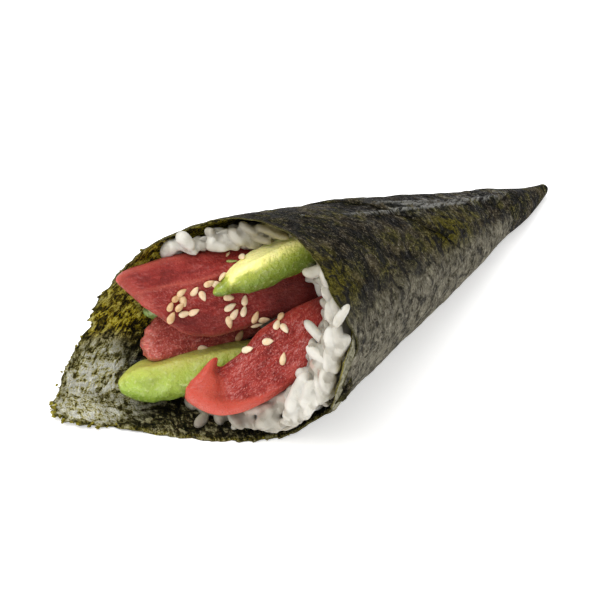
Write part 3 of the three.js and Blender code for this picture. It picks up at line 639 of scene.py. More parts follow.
def build_nori():
    phis = np.concatenate([np.arange(66, 300, 1.1), np.arange(300, 714, 1.45), np.arange(714, 798, 1.1), [798.0]])
    n_out, n_in = 150, 96
    lo, hi = table_at(ROOT, phis), table_at(RIM, phis) + nori_edge(phis)
    # rows crowd towards the rim where only that part of the layer shows
    hidden = 1 - smooth((phis - 286) / 30)
    buried = smooth((phis - 440) / 40)
    so, si = np.linspace(0, 1, n_out), np.linspace(0, 1, n_in)
    pts, sheet, edge, gold, painted_sheen, olive, painted_table_sheen, gloss, crest_highlight, painted_lit_bands = [], [], [], [], [], [], [], [], [], []
    for side, s in ((0, so), (1, si)):
        if side == 0:
            power = 1 - 0.72 * hidden
        else:
            power = 0.28 + 0.0 * buried
        f = 1 - (1 - s[None, :]) ** (1 / power[:, None] if side == 0 else 1 / 0.42)
        u = lo[:, None] + (hi - lo)[:, None] * f
        ph = np.repeat(phis[:, None], len(s), 1)
        az = (-ph) % 360
        d = depth_at(ph) + inner_lap(ph, u) + side * NORI_T
        near = np.maximum(hi[:, None] - u, 0)
        lift = crinkle(u, az)
        # the free flap on the outside clings to the layer beneath along its edges
        to_edge = np.minimum(near, np.maximum(u - lo[:, None], 0) + (ph < 702) * 99)
        to_edge = np.minimum(to_edge, (798 - ph) * CONE_K * u * math.pi / 180)
        flap = smooth((ph - 560) / 120) * np.exp(-to_edge / 1.6)
        lift = lift - 0.40 * flap
        # the crumbly inner face of the tongue
        p = cone_point(u, az, d)
        if side == 1:
            lift = lift - 0.24 * ridged(p, 3.1, 3, 51) * smooth((u - 100) / 12) * (ph < 330)
        tongue = smooth((u - 112) / 16) * bump(ph, 205, 90) * (ph < 330)
        lift = lift + tongue * (0.5 * fbm(p, 9.0, 3, 61) + 0.22 * fbm(p, 3.0, 2, 62))
        # the sheet thins out to nothing at its ragged edge
        thin = 1 - smooth(near / 0.5)
        d = d - lift + (0.5 - side) * NORI_T * 0.6 * thin
        q = cone_point(u, az, d)
        q[..., 2] += 0.75 * (1 - smooth(u / 14))
        low = (0.0 if side == 0 else NORI_T * (1 - 0.6 * thin))
        q[..., 2] = np.maximum(q[..., 2], low + 0.02)
        pts.append(q)
        psi = np.radians(ph) * 0.2213
        sheet.append(np.stack([u * np.cos(psi), u * np.sin(psi), side * 40 + 0 * u], -1))
        painted_lit_band = (ph < 140) * (side == 0)
        edge.append(near + 9.0 * (ph > 540) + 1.7 * painted_lit_band)
        gold.append(smooth((q[..., 2] - 8) / 8) * smooth((u - 100) / 10))
        # the painted sheen lies on the left of the tongue, low down
        painted_sheen.append(smooth((q[..., 1] - 10) / 10) * (1 - smooth((q[..., 2] - 9) / 7)) * smooth((u - 121) / 5) * (1 - 0.6 * smooth((1.8 - q[..., 2]) / 1.5)))
        olive.append(np.clip(1.4 * bump(az, 312, 34) * bump((u - 57) * 6, 0, 100) + 0.25 * bump(az, 292, 30) * bump((u - 88) * 5, 0, 110), 0, 1))
        # the lower flank and the front near the tip get the painted reflection of the table
        wear_and_table_sheen = smooth((308 - az) / 30) * smooth((az - 150) / 24) * smooth((u - 1) / 6)
        painted_table_sheen.append(np.maximum(wear_and_table_sheen, 0.85 * smooth((26 - u) / 12) * bump(az, 300, 60)))
        # painted light on the band of the lap inside the rim
        painted_lit_bands.append(0.92 * painted_lit_band * smooth((u - 104) / 5))
        gloss.append(bump(az, 345, 26) * smooth((92 - u) / 20))
        # painted highlight on the crests of the long top folds
        up = sum(np.maximum(fold(az, u, *f), 0) for f in FOLDS[:7])
        crest_highlight.append(smooth((up - 0.12) / 0.34) * (side == 0))
    n = len(phis)
    V = np.concatenate([pts[0].reshape(-1, 3), pts[1].reshape(-1, 3)])
    base = n * n_out
    F = [grid_faces(n, n_out), grid_faces(n, n_in, base=base, flip=True)]
    mats = [np.zeros(len(F[0]), int), np.ones(len(F[1]), int)]
    o = lambda i, j: i * n_out + j
    q = lambda i, j: base + i * n_in + j
    rim, ends = [], []
    for i in range(n - 1):
        rim.append((o(i + 1, n_out - 1), q(i + 1, n_in - 1), q(i, n_in - 1), o(i, n_out - 1)))
        rim.append((q(i, 0), q(i + 1, 0), o(i + 1, 0), o(i, 0)))
    # the two ends of the winding: rows differ in number, so each is closed by one strip
    def strip(i, flip):
        a, b, out = 0, 0, []
        fo = [pts[0][i, k, 0] for k in range(n_out)]
        fi = [pts[1][i, k, 0] for k in range(n_in)]
        while a < n_out - 1 or b < n_in - 1:
            if b == n_in - 1 or (a < n_out - 1 and fo[a + 1] > fi[b + 1]):
                t = (o(i, a), o(i, a + 1), q(i, b)); a += 1
            else:
                t = (o(i, a), q(i, b + 1), q(i, b)); b += 1
            out.append(t[::-1] if flip else t)
        return out
    ends = strip(0, False) + strip(n - 1, True)
    faces = [tuple(map(int, f)) for f in np.concatenate(F)] + rim + ends
    mats = np.concatenate(mats).tolist() + [1] * (len(rim) + len(ends))
    at = {
        "sheet": np.concatenate([a.reshape(-1, 3) for a in sheet]),
        "edge": np.concatenate([a.ravel() for a in edge]), "gold": np.concatenate([a.ravel() for a in gold]),
        "painted_sheen": np.concatenate([a.ravel() for a in painted_sheen]), "olive": np.concatenate([a.ravel() for a in olive]),
        "painted_table_sheen": np.concatenate([a.ravel() for a in painted_table_sheen]), "gloss": np.concatenate([a.ravel() for a in gloss]),
        "crest_highlight": np.concatenate([a.ravel() for a in crest_highlight]), "painted_lit_band": np.concatenate([a.ravel() for a in painted_lit_bands])}
    rim_line = pts[0][:, -1]
    # the pressed lump at the tip
    azs = np.arange(0, 360, 6.0)
    rows = []
    for u, dep in ((0.22, 0.95), (0.25, 0.45), (0.5, 0.10), (1.0, 0.0), (1.8, -0.12), (3.2, -0.28), (5, -0.42), (7.5, -0.50), (10, -0.48), (13, -0.36), (17, -0.05), (22, 0.5), (27, 1.0)):
        r = cone_point(u, azs, dep - 0.8 * crinkle(np.full_like(azs, u), azs))
        r[:, 0] += 0.35 * noise(r, 1.3, 71) * (u < 1)
        r[:, 2] = np.maximum(r[:, 2] + 0.75 * (1 - smooth(u / 14)), 0.02)
        rows.append(r)
    R = np.concatenate(rows)
    b0 = len(V)
    m, k = len(rows), len(azs)
    caps = [R[:k].mean(0), R[-k:].mean(0)]
    V = np.concatenate([V, R, np.array(caps)])
    tip = grid_faces(m, k, wrap=True, base=b0).tolist()
    tip += [(b0 + m * k, b0 + (j + 1) % k, b0 + j) for j in range(k)]
    tip += [(b0 + m * k + 1, b0 + (m - 1) * k + j, b0 + (m - 1) * k + (j + 1) % k) for j in range(k)]
    faces += [tuple(f) for f in tip]
    mats += [0] * len(tip)
    extra = len(R) + 2
    tip_sheet = np.concatenate([R, np.array(caps)]) * 1.0 + 300
    at["sheet"] = np.concatenate([at["sheet"], tip_sheet])
    for key in ("edge", "gold", "painted_sheen", "olive", "painted_table_sheen", "gloss", "crest_highlight", "painted_lit_band"):
        at[key] = np.concatenate([at[key], np.full(extra, 9.0 if key == "edge" else 0.0)])
    # the tip is lower here, and where it is low it gets the painted reflection of the table
    at["painted_table_sheen"][-extra:] = smooth((1.4 - np.concatenate([R, np.array(caps)])[:, 2]) / 1.0) * 0.8
    return V, faces, mats, at, phis, rim_line, len(F[0]) + len(F[1])


# ------------------------------------------------------------------------------------------------ slices and wedges
def curve(points, t):
    """A centripetal Catmull-Rom curve through the points at the values t."""
    P = np.asarray(points, float)
    n = len(P)
    t = np.asarray(t, float)
    p = (n - 1) * t
    i = np.clip(np.floor(p).astype(int), 0, n - 2)
    w = (p - i)[..., None]
    ext = np.concatenate([[2 * P[0] - P[1]], P, [2 * P[-1] - P[-2]]])
    a, b, c, d = ext[i], ext[i + 1], ext[i + 2], ext[i + 3]
    dt = lambda u, v: np.maximum(((u - v) ** 2).sum(-1, keepdims=True) ** 0.25, 1e-4)
    d0, d1, d2 = dt(a, b), dt(b, c), dt(c, d)
    m1 = ((b - a) / d0 - (c - a) / (d0 + d1) + (c - b) / d1) * d1
    m2 = ((c - b) / d1 - (d - b) / (d1 + d2) + (d - c) / d2) * d1
    c2, c3 = -3 * b + 3 * c - 2 * m1 - m2, 2 * b - 2 * c + m1 + m2
    return ((c3 * w + c2) * w + m1) * w + b


def tangent(points, t, e=1e-3):
    a, b = curve(points, np.clip(t - e, 0, 1)), curve(points, np.clip(t + e, 0, 1))
    d = b - a
    return d / np.linalg.norm(d, axis=-1, keepdims=True)


def unit(v):
    return v / np.maximum(np.linalg.norm(v, axis=-1, keepdims=True), 1e-9)


def to_part(rows):
    r = np.asarray(rows, float)
    out = r.copy()
    out[:, 0] = APEX_X - r[:, 0]
    out[:, 1] = APEX_Y + r[:, 1]
    return out


def row_values(n):
    e = np.linspace(0, 1, n)
    return e - 0.055 * np.sin(2 * np.pi * e)


def end_taper(t, nose):
    d = np.clip(np.minimum(t / nose, (1 - t) / 0.08), 0, 1)
    return 0.3 + 0.7 * np.sqrt(1 - (1 - d) ** 2)


def sup(c, e):
    return np.sign(c) * np.abs(c) ** e


def normals_of(V, F):
    """Vertex normals of a mesh of quads or triangles."""
    n = np.zeros_like(V)
    F = [f for f in F]
    quads = np.array([f for f in F if len(f) == 4])
    tris = np.array([f for f in F if len(f) == 3])
    if len(quads):
        a = np.cross(V[quads[:, 2]] - V[quads[:, 0]], V[quads[:, 3]] - V[quads[:, 1]])
        for k in range(4):
            np.add.at(n, quads[:, k], a)
    if len(tris):
        a = np.cross(V[tris[:, 1]] - V[tris[:, 0]], V[tris[:, 2]] - V[tris[:, 0]])
        for k in range(3):
            np.add.at(n, tris[:, k], a)
    return unit(n)


def close_loft(rings):
    """A closed surface from rings of points, with a fan at each end."""
    m, k = rings.shape[:2]
    V = np.concatenate([rings.reshape(-1, 3), rings[0].mean(0)[None], rings[-1].mean(0)[None]])
    F = grid_faces(m, k, wrap=True).tolist()
    F += [(m * k, (j + 1) % k, j) for j in range(k)]
    F += [(m * k + 1, (m - 1) * k + j, (m - 1) * k + (j + 1) % k) for j in range(k)]
    vol = 0.0
    for f in F[:: max(1, len(F) // 4000)]:
        a, b, c = V[f[0]], V[f[1]], V[f[2]]
        vol += np.dot(a - V.mean(0), np.cross(b - V.mean(0), c - V.mean(0)))
    if vol < 0:
        F = [tuple(f[::-1]) for f in F]
    return V, [tuple(f) for f in F]


def slice_mesh(spec, rows=132, ring=104):
    """A slice spans two rails, the edges of its front face, and is thick behind them."""
    upper, lower = to_part(spec["upper"]), to_part(spec["lower"])
    t = row_values(rows)
    a, b = curve(upper, t), curve(lower, t)
    T = unit(tangent(upper, t) + tangent(lower, t))
    w = a - b
    half = np.linalg.norm(w, axis=-1) / 2
    w = unit(w)
    n = unit(np.cross(w, T))
    n = np.where(n[:, 2:3] > 0, -n, n)
    th = table_at(spec["thick"], t) / 2
    k = end_taper(t, spec.get("nose", 0.06))
    c = (a + b) / 2 + n * th[:, None]
    g = 2 * np.pi * np.arange(ring) / ring
    x = np.cos(g)[None, :]
    y = np.sign(np.sin(g))[None, :] * np.maximum(1 - np.abs(x) ** 3.6, 0) ** 0.36
    tt = t[:, None]
    front = np.clip(-y, 0, 1)
    dish = spec.get("hollow", 0) * (1 - x * x) * np.clip(1 - tt / 0.3, 0, 1) * np.clip(tt / 0.06, 0, 1)
    ridge = np.clip(1.06 - np.sqrt(((x - 0.42) / 0.60) ** 2 + 0.006), 0, 1)
    dish = dish - spec.get("crown", 0) * ridge * k[:, None]
    dish = np.where(y < 0, dish, 0)
    dist = np.concatenate([[0], np.cumsum(np.linalg.norm(np.diff(c, axis=0), axis=-1))])[:, None]
    shape = spec.get("shape")
    more_w, more_n, roll = (shape(dist, x, (x + 1) * half[:, None], front) if shape else (0.0, 0.0, 0.0 * (tt + x)))
    c = c - T * (spec.get("bulge", 0) * np.exp(-dist / 2.2))
    wide = 0.45 * (1 - k)[:, None] * (1 - spec.get("square", 0) * smooth((x - 0.05) / 0.5))
    P = (c[:, None, :] - T[:, None, :] * (spec.get("bulge", 0) * (0.4 - x * x) * np.exp(-dist / 2.2))[..., None]
         + w[:, None, :] * (x * half[:, None] * (1 - wide) + more_w)[..., None]
         + n[:, None, :] * (y * (th * k)[:, None] + dish + more_n)[..., None])
    P[..., 2] = np.maximum(P[..., 2], 0.6)
    V, F = close_loft(P)
    length = np.linalg.norm(np.diff(c, axis=0), axis=-1).sum()
    along = np.concatenate([[0], np.cumsum(np.linalg.norm(np.diff(c, axis=0), axis=-1))])
    G = np.stack([np.repeat(along[:, None], ring, 1), x * half[:, None], y * th[:, None]], -1).reshape(-1, 3)
    G = np.concatenate([G, [[0, 0, 0], [length, 0, 0]]])
    tv = np.concatenate([np.repeat(tt, ring, 1).ravel(), [0, 1]])
    xv = np.concatenate([np.repeat(x, rows, 0).ravel(), [0, 0]])
    yv = np.concatenate([np.repeat(y, rows, 0).ravel(), [0, 0]])
    roll = np.concatenate([(roll * np.ones_like(x)).ravel(), [1 if shape else 0, 0]])
    return V, F, G, tv, xv, yv, roll


def wedge_mesh(spec, rows=96, ring=72):
    """A wedge of avocado: round on its skin side and cut flat on the other."""
    st = np.asarray(spec["stations"], float)
    path = to_part(st[:, :3])
    t = row_values(rows)
    p, T = curve(path, t), tangent(path, t)
    f = np.linspace(0, 1, len(st))
    wd, dp = np.interp(t, f, st[:, 3]), np.interp(t, f, st[:, 4])
    tilt = math.radians(spec["tilt"])
    w = np.array([0, math.cos(tilt), math.sin(tilt)])[None, :]
    w = unit(w - T * (T @ w[0])[:, None])
    n = unit(np.cross(w, T))
    n = np.where(n[:, 1:2] > 0, -n, n)
    k = end_taper(t, spec.get("nose", 0.1))
    g = 2 * np.pi * np.arange(ring) / ring
    flat = spec["flat"] + (0.97 - spec["flat"]) * (1 - smooth(t / spec.get("round", 0.01)))[:, None]
    cx = np.cos(g)[None, :]
    # the cut meets the round side at a soft edge
    x = flat - np.log1p(np.exp((flat - cx) * 16)) / 16
    y = np.sin(g)[None, :]
    P = p[:, None, :] + w[:, None, :] * (x * (wd / 2 * k)[:, None])[..., None] + n[:, None, :] * (y * (dp / 2 * k)[:, None])[..., None]
    V, F = close_loft(P)
    skin = np.clip((spec["flat"] - cx) / (1 + spec["flat"]), -0.2, 1) + 0.3 * (flat - spec["flat"]) / (0.97 - spec["flat"])
    tv = np.concatenate([np.repeat(t[:, None], ring, 1).ravel(), [0, 1]])
    sv = np.concatenate([(skin * np.ones((rows, ring))).ravel(), [0.6, 0.6]])
    gv = np.concatenate([np.repeat(g[None, :], rows, 0).ravel(), [0, 0]])
    return V, F, tv, sv, gv


def front_lip(s, x, low, front):
    """The rolled end of the front slice: a fat roll along its end, thinner along the lower edge, a groove inside it,
    and a blunt tab at the upper corner. s is the distance from the end and low the one from the lower edge."""
    w_end = 6.6 - 3.4 * smooth((x + 0.30) / 1.15)
    w_low = 3.0 - 1.4 * smooth((s - 5) / 12)
    q1, q2 = s / w_end, low / w_low
    k = 7.0
    q = -np.log(np.exp(-k * np.minimum(q1, 6)) + np.exp(-k * np.minimum(q2, 6))) / k
    fade = 1 - smooth((s - 11) / 11)
    at_end = 1 - smooth((s - 4) / 5)
    hump = np.sin(np.pi * np.clip(q + 0.08, 0, 1)) ** 0.85
    groove = np.exp(-(((q - 1.22) / 0.26) ** 2))
    height = (0.85 + 0.95 * at_end) * fade
    more_n = -height * hump * smooth(front / 0.6) + (0.35 + 0.75 * at_end) * fade * groove * smooth(front / 0.8)
    up = smooth((x - 0.30) / 0.55)
    tab = up * ((2.9 - 0.62 * np.minimum(s, 2.3)) * (1 - smooth((s - 2.3) / 0.7)) - 0.7 * np.exp(-(((s - 4.2) / 1.3) ** 2)))
    roll = (1 - smooth((q - 0.72) / 0.62)) * (0.25 + 0.75 * fade)
    return tab, more_n - 0.7 * smooth((x - 0.5) / 0.4) * (1 - smooth((s - 2.6) / 1.8)) * front, roll


SLICES = {
    "tuna_back": dict(
        upper=[(131.4, 27.6, 34.9), (121.6, 21.6, 36.6), (114.6, 16.4, 37), (107, 10.8, 37), (99.5, 6, 36.4), (87, 1.5, 31), (71, -0.5, 22)],
        lower=[(125.6, 15.4, 23.4), (120.4, 10, 20.2), (114.5, 4.6, 21), (106, -1.2, 23.4), (98.5, -5.4, 24.6), (85, -8, 20.8), (70, -6.2, 14.6)],
        thick=[(0, 3.6), (0.15, 6.4), (0.7, 6.8), (1, 5)], crown=2.7),
    "tuna_low": dict(
        upper=[(119.6, 24.4, 20.6), (114.5, 21.2, 21.4), (107, 16.5, 20.5), (99, 12.5, 19), (88, 9.5, 16.5)],
        lower=[(127, 20.2, 14.2), (119.8, 15.6, 13.5), (112.1, 11.8, 13.4), (102, 7.6, 13.3), (91, 5, 11.4)],
        thick=[(0, 4.6), (0.5, 5.6), (1, 4)], bulge=1.5, nose=0.045, square=0.9),
    "tuna_front": dict(
        upper=[(126.4, 5.6, 17.6), (121.2, 2.6, 19.2), (114, 0.2, 23.4), (107, -2.8, 26), (99, -6, 27.4), (89, -6.5, 25), (78, -6, 20.5)],
        lower=[(133.6, 6.2, 13.8), (130.8, -1, 11.2), (123.8, -6.9, 12.3), (115.6, -11.2, 15.8), (105.5, -12.8, 21.4), (94, -12.8, 19.8), (82, -10.8, 15.6)],
        thick=[(0, 4.6), (0.3, 5.4), (1, 4.4)], nose=0.045, hollow=0.7, square=0.95, bulge=1.1, shape=front_lip),
}
WEDGES = {
    "avocado_top": dict(tilt=74, nose=0.06, flat=0.6, round=0.12, stations=[
        (119.4, 9.0, 31.6, 1.5, 1.4), (116.6, 7.8, 32.6, 4.0, 3.2), (113.4, 6.3, 33.9, 8.0, 6.0), (109.8, 4.0, 35.4, 10.0, 7.3),
        (103.5, 0.3, 37.8, 11.0, 7.8), (99.0, -1.4, 38.2, 10.6, 7.6), (90, -2.8, 34.6, 8.4, 6.4), (79, -3.6, 29.6, 5, 4)]),
    "avocado_low": dict(tilt=64, nose=0.2, flat=0.62, round=0.34, stations=[
        (131.6, 26.2, 6.6, 5.6, 5.2), (127, 21.9, 7.8, 10.6, 9), (120.5, 15.8, 9.4, 12.4, 9.6), (113, 8.6, 10.6, 11.6, 9),
        (105, 2.4, 11.2, 9.6, 8), (96, -1.4, 11.6, 6, 6)]),
    "avocado_end": dict(tilt=80, nose=0.2, flat=0.7, stations=[
        (121.3, 27.1, 20.5, 3.4, 2.6), (116, 24.1, 19.9, 5.4, 3.6), (108, 20.7, 17.9, 5.4, 3.6), (99, 17.3, 15.5, 3.6, 2.6)]),
}

# ------------------------------------------------------------------------------------------------ build the pieces
pieces = {}
trees = {}

nori_out, nori_in = nori_outside(), nori_inside()
V, F, M, A, phis, rim_line, n_grid = build_nori()
nori = make("nori_sheet", V, F, attrs=A, face_mats=M, mats=[nori_out, nori_in])
nori_tree = bvh_of(V, F)
nori_side = np.array(M)
nori_side[n_grid:] = 2  # the rim and the tip, which are neither the inner nor the outer face
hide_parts("nori"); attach(nori, "root")

tuna_mats = {
    "tuna_back": tuna_flesh("tuna_back_flesh", (0.17, 0.012, 0.0095), (0.285, 0.0235, 0.0175), (0.43, 0.054, 0.039), (0.54, 0.115, 0.082)),
    "tuna_low": tuna_flesh("tuna_low_flesh", (0.20, 0.020, 0.015), (0.38, 0.060, 0.045), (0.58, 0.15, 0.115), (0.58, 0.16, 0.12)),
    "tuna_front": tuna_flesh("tuna_front_flesh", (0.17, 0.012, 0.010), (0.33, 0.029, 0.021), (0.49, 0.070, 0.050), (0.53, 0.080, 0.050)),
}
for name, spec in SLICES.items():
    V, F, G, tv, xv, yv, roll = slice_mesh(spec)
    nv = normals_of(V, F)
    seed = {"tuna_back": 101, "tuna_low": 121, "tuna_front": 141}[name]
    S = G * np.array([0.22, 1.0, 1.0])
    d = 0.30 * fbm(V, 7.5, 2, seed) + 0.09 * fbm(S, 1.7, 3, seed + 3) + 0.07 * ridged(S, 2.6, 2, seed + 5)
    d = d + (1 - smooth(tv / 0.06)) * (0.35 * noise(V, 2.3, seed + 8) + 0.16 * noise(V, 1.0, seed + 9)) * {"tuna_back": 1.0, "tuna_low": 2.6, "tuna_front": 0.0}[name]
    V = V + nv * d[:, None]
    V[:, 2] = np.maximum(V[:, 2], 0.55)
    # painted highlight along the edges and the end of each slice
    rim = np.exp(-((1 - np.abs(xv)) / 0.10) ** 2) * 0.45 + 0.35 * (1 - smooth(tv / 0.06))
    wet_sheen = 0.25 + 0.75 * (name == "tuna_low")
    facet = 0.0
    if name == "tuna_back":  # a smooth facet along its upper edge, with a painted highlight as a pale line under it; the facet takes a little painted shade
        on = (yv < 0.3) * (1 - smooth((tv - 0.30) / 0.25))
        line = np.exp(-(((xv - 0.40 + 0.05 * noise(V, 6.0, 131)) / 0.045) ** 2)) * on
        rim = np.maximum(rim, 0.60 * line)
        facet = smooth((xv - 0.42) / 0.10) * on
        wet_sheen = 0.42 - 0.40 * facet - 0.25 * smooth((tv - 0.35) / 0.2)
    if name == "tuna_front":
        # the rolled lip is painted paler: a painted highlight for the light on and through the roll
        rim = np.maximum(rim * 0.5, roll)
        wet_sheen = 0.25 + 0.50 * (1 - roll) * (1 - smooth((tv - 0.55) / 0.2))
    wet_sheen = wet_sheen * np.ones(len(V))
    sx, sy = screen(V)
    # painted shade where the slices run under the upper wedge and deep under the rim
    painted_shade = 0.62 * smooth((sx - 240) / 50) * smooth((sy - 268) / 16) * (name == "tuna_back") + 0.55 * smooth((sx - 290) / 35) * (name == "tuna_low")
    painted_shade = painted_shade + 0.5 * smooth((sx - 296) / 26) * smooth((322 - sy) / 26) * (name == "tuna_front")
    painted_shade = np.minimum(painted_shade + (0.30 * smooth((sy - 306) / 16) + 0.03 * facet) * (name == "tuna_back"), 0.8)
    o = make(name + "_slice", V, F, material=tuna_mats[name], attrs={"grain": G, "rim": np.clip(rim, 0, 1), "wet_sheen": wet_sheen, "painted_shade": painted_shade * np.ones(len(V))})
    trees[name] = bvh_of(V, F)
    pieces[name] = o
    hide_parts(name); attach(o, "root")

avocado_mats = {
    "avocado_top": avocado_flesh("avocado_top_flesh", [
        (0.0, (0.98, 0.92, 0.38)), (0.13, (0.92, 0.88, 0.28)), (0.26, (0.40, 0.46, 0.052)), (0.52, (0.18, 0.255, 0.017)), (0.9, (0.10, 0.155, 0.008))]),
    "avocado_low": avocado_flesh("avocado_low_flesh", [
        (0.0, (0.48, 0.48, 0.10)), (0.14, (0.44, 0.495, 0.075)), (0.35, (0.37, 0.475, 0.060)), (0.65, (0.36, 0.485, 0.066)), (0.95, (0.24, 0.36, 0.036))]),
    "avocado_end": avocado_flesh("avocado_end_flesh", [
        (0.0, (0.30, 0.36, 0.15)), (0.4, (0.24, 0.32, 0.11)), (0.9, (0.16, 0.28, 0.05))]),
}
for name, spec in WEDGES.items():
    V, F, tv, sv, gv = wedge_mesh(spec)
    nv = normals_of(V, F)
    seed = {"avocado_top": 201, "avocado_low": 221, "avocado_end": 241}[name]
    amp = smooth(sv * 4)
    d = 0.22 * fbm(V, 5.5, 2, seed) + amp * (0.20 * ridged(V, 4.2, 1, seed + 5) + 0.14 * fbm(V, 2.2, 2, seed + 7)) + 0.03 * fbm(V, 1.1, 2, seed + 9)
    V = V + nv * d[:, None]
    V[:, 2] = np.maximum(V[:, 2], 0.55)
    spots = bump(gv * 57.3, 0, 60) * (name == "avocado_top") * smooth((tv - 0.2) / 0.1) * (1 - smooth((tv - 0.5) / 0.1))
    if name == "avocado_top":
        sv = np.maximum(sv, 0.42 * (1 - smooth((tv - 0.11) / 0.13)))
    # painted shade towards the end that runs under the rim
    painted_shade = 0.75 * smooth((tv - 0.56) / 0.2) * (name == "avocado_top") + 0.5 * smooth((tv - 0.55) / 0.3) * (name == "avocado_low")
    o = make(name + "_wedge", V, F, material=avocado_mats[name], attrs={"skin": sv, "spots": spots, "painted_shade": painted_shade * np.ones(len(V))})
    trees[name] = bvh_of(V, F)
    pieces[name] = o
    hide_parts(name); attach(o, "root")

# ------------------------------------------------------------------------------------------------ rice
rice_mat = rice_white()
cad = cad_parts["rice"]
cv = np.array([tuple(cad.matrix_world @ v.co) for v in cad.data.vertices]) * 1000.0
cf = [tuple(p.vertices) for p in cad.data.polygons]
cad_rice = bvh_of(cv, cf)
# the core: the same heap on a fine even mesh, drawn in a little and covered with grain-sized relief
core = make("rice_core", cv, cf)
mod = core.modifiers.new("even", "REMESH")
mod.mode = "VOXEL"
mod.voxel_size = 0.0009
dg = bpy.context.evaluated_depsgraph_get()
even = bpy.data.meshes.new_from_object(core.evaluated_get(dg))
core.modifiers.clear()
core.data = even
n = len(even.vertices)
co = np.empty(n * 3, np.float32); even.vertices.foreach_get("co", co)
no = np.empty(n * 3, np.float32); even.vertex_normals.foreach_get("vector", no)
co, no = co.reshape(-1, 3).astype(float) * 1000, no.reshape(-1, 3).astype(float)
mouth = smooth((APEX_X - co[:, 0] - 90) / 10)
px_, py_ = (lambda q: (297.5 - FOCAL * (q @ RIGHT) / (q @ BACK), 300 + FOCAL * (q @ UP) / (q @ BACK)))(co - EYE)
mouth = mouth * (1 + 1.6 * smooth((px_ - 288) / 10) * smooth((264 - py_) / 8))
co2 = co + no * (-1.0 * mouth + 0.55 * mouth * ridged(co, 3.4, 1, 301) - 0.1)[:, None]
even.vertices.foreach_set("co", (co2 / 1000).astype(np.float32).ravel())
even.update()
even.polygons.foreach_set("use_smooth", [True] * len(even.polygons))
for key in ("chalk_and_light", "pink_shade"):
    even.attributes.new(key, "FLOAT", "POINT").data.foreach_set("value", np.full(n, 0.35 if key == "chalk_and_light" else 0.0, np.float32))
even.materials.clear(); even.materials.append(rice_mat)
core_faces = [tuple(p.vertices) for p in even.polygons]
core_tree = bvh_of(co2, core_faces)


def grain(p0, p1, r, bend=0.0, seed=0, sides=16, rings=15):
    """One cooked grain between two points: plump, a little flat, a little bent, blunter at one end."""
    g = np.random.default_rng(seed)
    a, b = np.asarray(p0, float), np.asarray(p1, float)
    L = np.linalg.norm(b - a)
    t = unit(b - a)
    h = unit(np.cross(t, g.normal(size=3)))
    k = np.cross(t, h)
    s = -np.cos(np.linspace(0, np.pi, rings))
    prof = np.sqrt(np.maximum(1 - np.abs(s) ** 2.9, 0)) * (1 + 0.10 * s * g.uniform(-1, 1)) * (1 + 0.05 * np.sin(3.1 * s + g.uniform(0, 6)))
    prof = np.maximum(prof, 0.0)
    ang = 2 * np.pi * np.arange(sides) / sides
    flat = g.uniform(0.80, 0.96)
    mid = (a + b) / 2
    line = mid[None, :] + t[None, :] * (s * L / 2)[:, None] + h[None, :] * (bend * (1 - s * s))[:, None]
    V = line[1:-1, None, :] + (h[None, None, :] * np.cos(ang)[None, :, None] + k[None, None, :] * np.sin(ang)[None, :, None] * flat) * (r * prof[1:-1])[:, None, None]
    V = V.reshape(-1, 3)
    V = np.concatenate([V, line[:1], line[-1:]])
    V = V + unit(V - mid) * (0.12 * noise(V, 2.1, seed % 97) + 0.05 * noise(V, 1.0, seed % 89))[:, None]
    m = rings - 2
    F = grid_faces(m, sides, wrap=True, flip=True).tolist()
    F += [(m * sides, j, (j + 1) % sides) for j in range(sides)]
    F += [(m * sides + 1, (m - 1) * sides + (j + 1) % sides, (m - 1) * sides + j) for j in range(sides)]
    F = [tuple(f[::-1]) for f in F]
    return V, F


def clearance(tree, p):
    """Signed distance from p to a closed mesh, positive outside."""
    loc, nor, _, dist = tree.find_nearest(Vector(p))
    if loc is None:
        return 99.0
    v = np.array(p) - np.array(loc)
    return dist if v @ np.array(nor) >= 0 else -dist


def nori_clear(p):
    """Distance from p to the sheet's inner face, negative outside the roll."""
    loc, nor, idx, dist = nori_tree.find_nearest(Vector(p))
    v = np.array(p) - np.array(loc)
    inside = nori_side[idx] == 1
    out = v @ np.array(nor) >= 0
    return dist if (inside and out) else -dist


grains = []  # (p0, p1, r, bend, chalk_and_light, pink_shade)
free_ids = set()  # the ones that may lean out over the rim


def keep_in(p, need):
    """The same point, or the nearest one inside the roll that is that far from the sheet."""
    for _ in range(2):
        loc, nor, idx, dist = nori_tree.find_nearest(Vector(p))
        if loc is None or nori_side[idx] == 2:
            return p
        nn = np.array(nor)
        d = (p - np.array(loc)) @ nn
        if nori_side[idx] == 1 and d < need:
            p = p + nn * (need - d)
        elif nori_side[idx] == 0 and d > -NORI_T - need:
            p = p - nn * (d + NORI_T + need)
    return p


def through_sheet(p):
    """Whether p lies in the rolled sheet or outside it, away from the rim."""
    az = math.degrees(math.atan2(p[1] - APEX_Y, p[2] - AXIS_LIFT * float(cone_r(APEX_X - p[0])))) % 360
    phi = 360 - az
    if phi < 66:
        phi += 360
    if APEX_X - p[0] > table_at(RIM, phi) - 1.2:
        return False
    loc, nor, idx, dist = nori_tree.find_nearest(Vector(p))
    return nori_side[idx] == 0 and (np.array(p) - np.array(loc)) @ np.array(nor) > -NORI_T


def seg_dist(a0, a1, b0, b1):
    """Least distance between two segments, close enough for grains."""
    s = np.linspace(0, 1, 5)[:, None]
    A = a0 + (a1 - a0) * s
    B = b0 + (b1 - b0) * s
    return np.min(np.linalg.norm(A[:, None, :] - B[None, :, :], axis=-1))


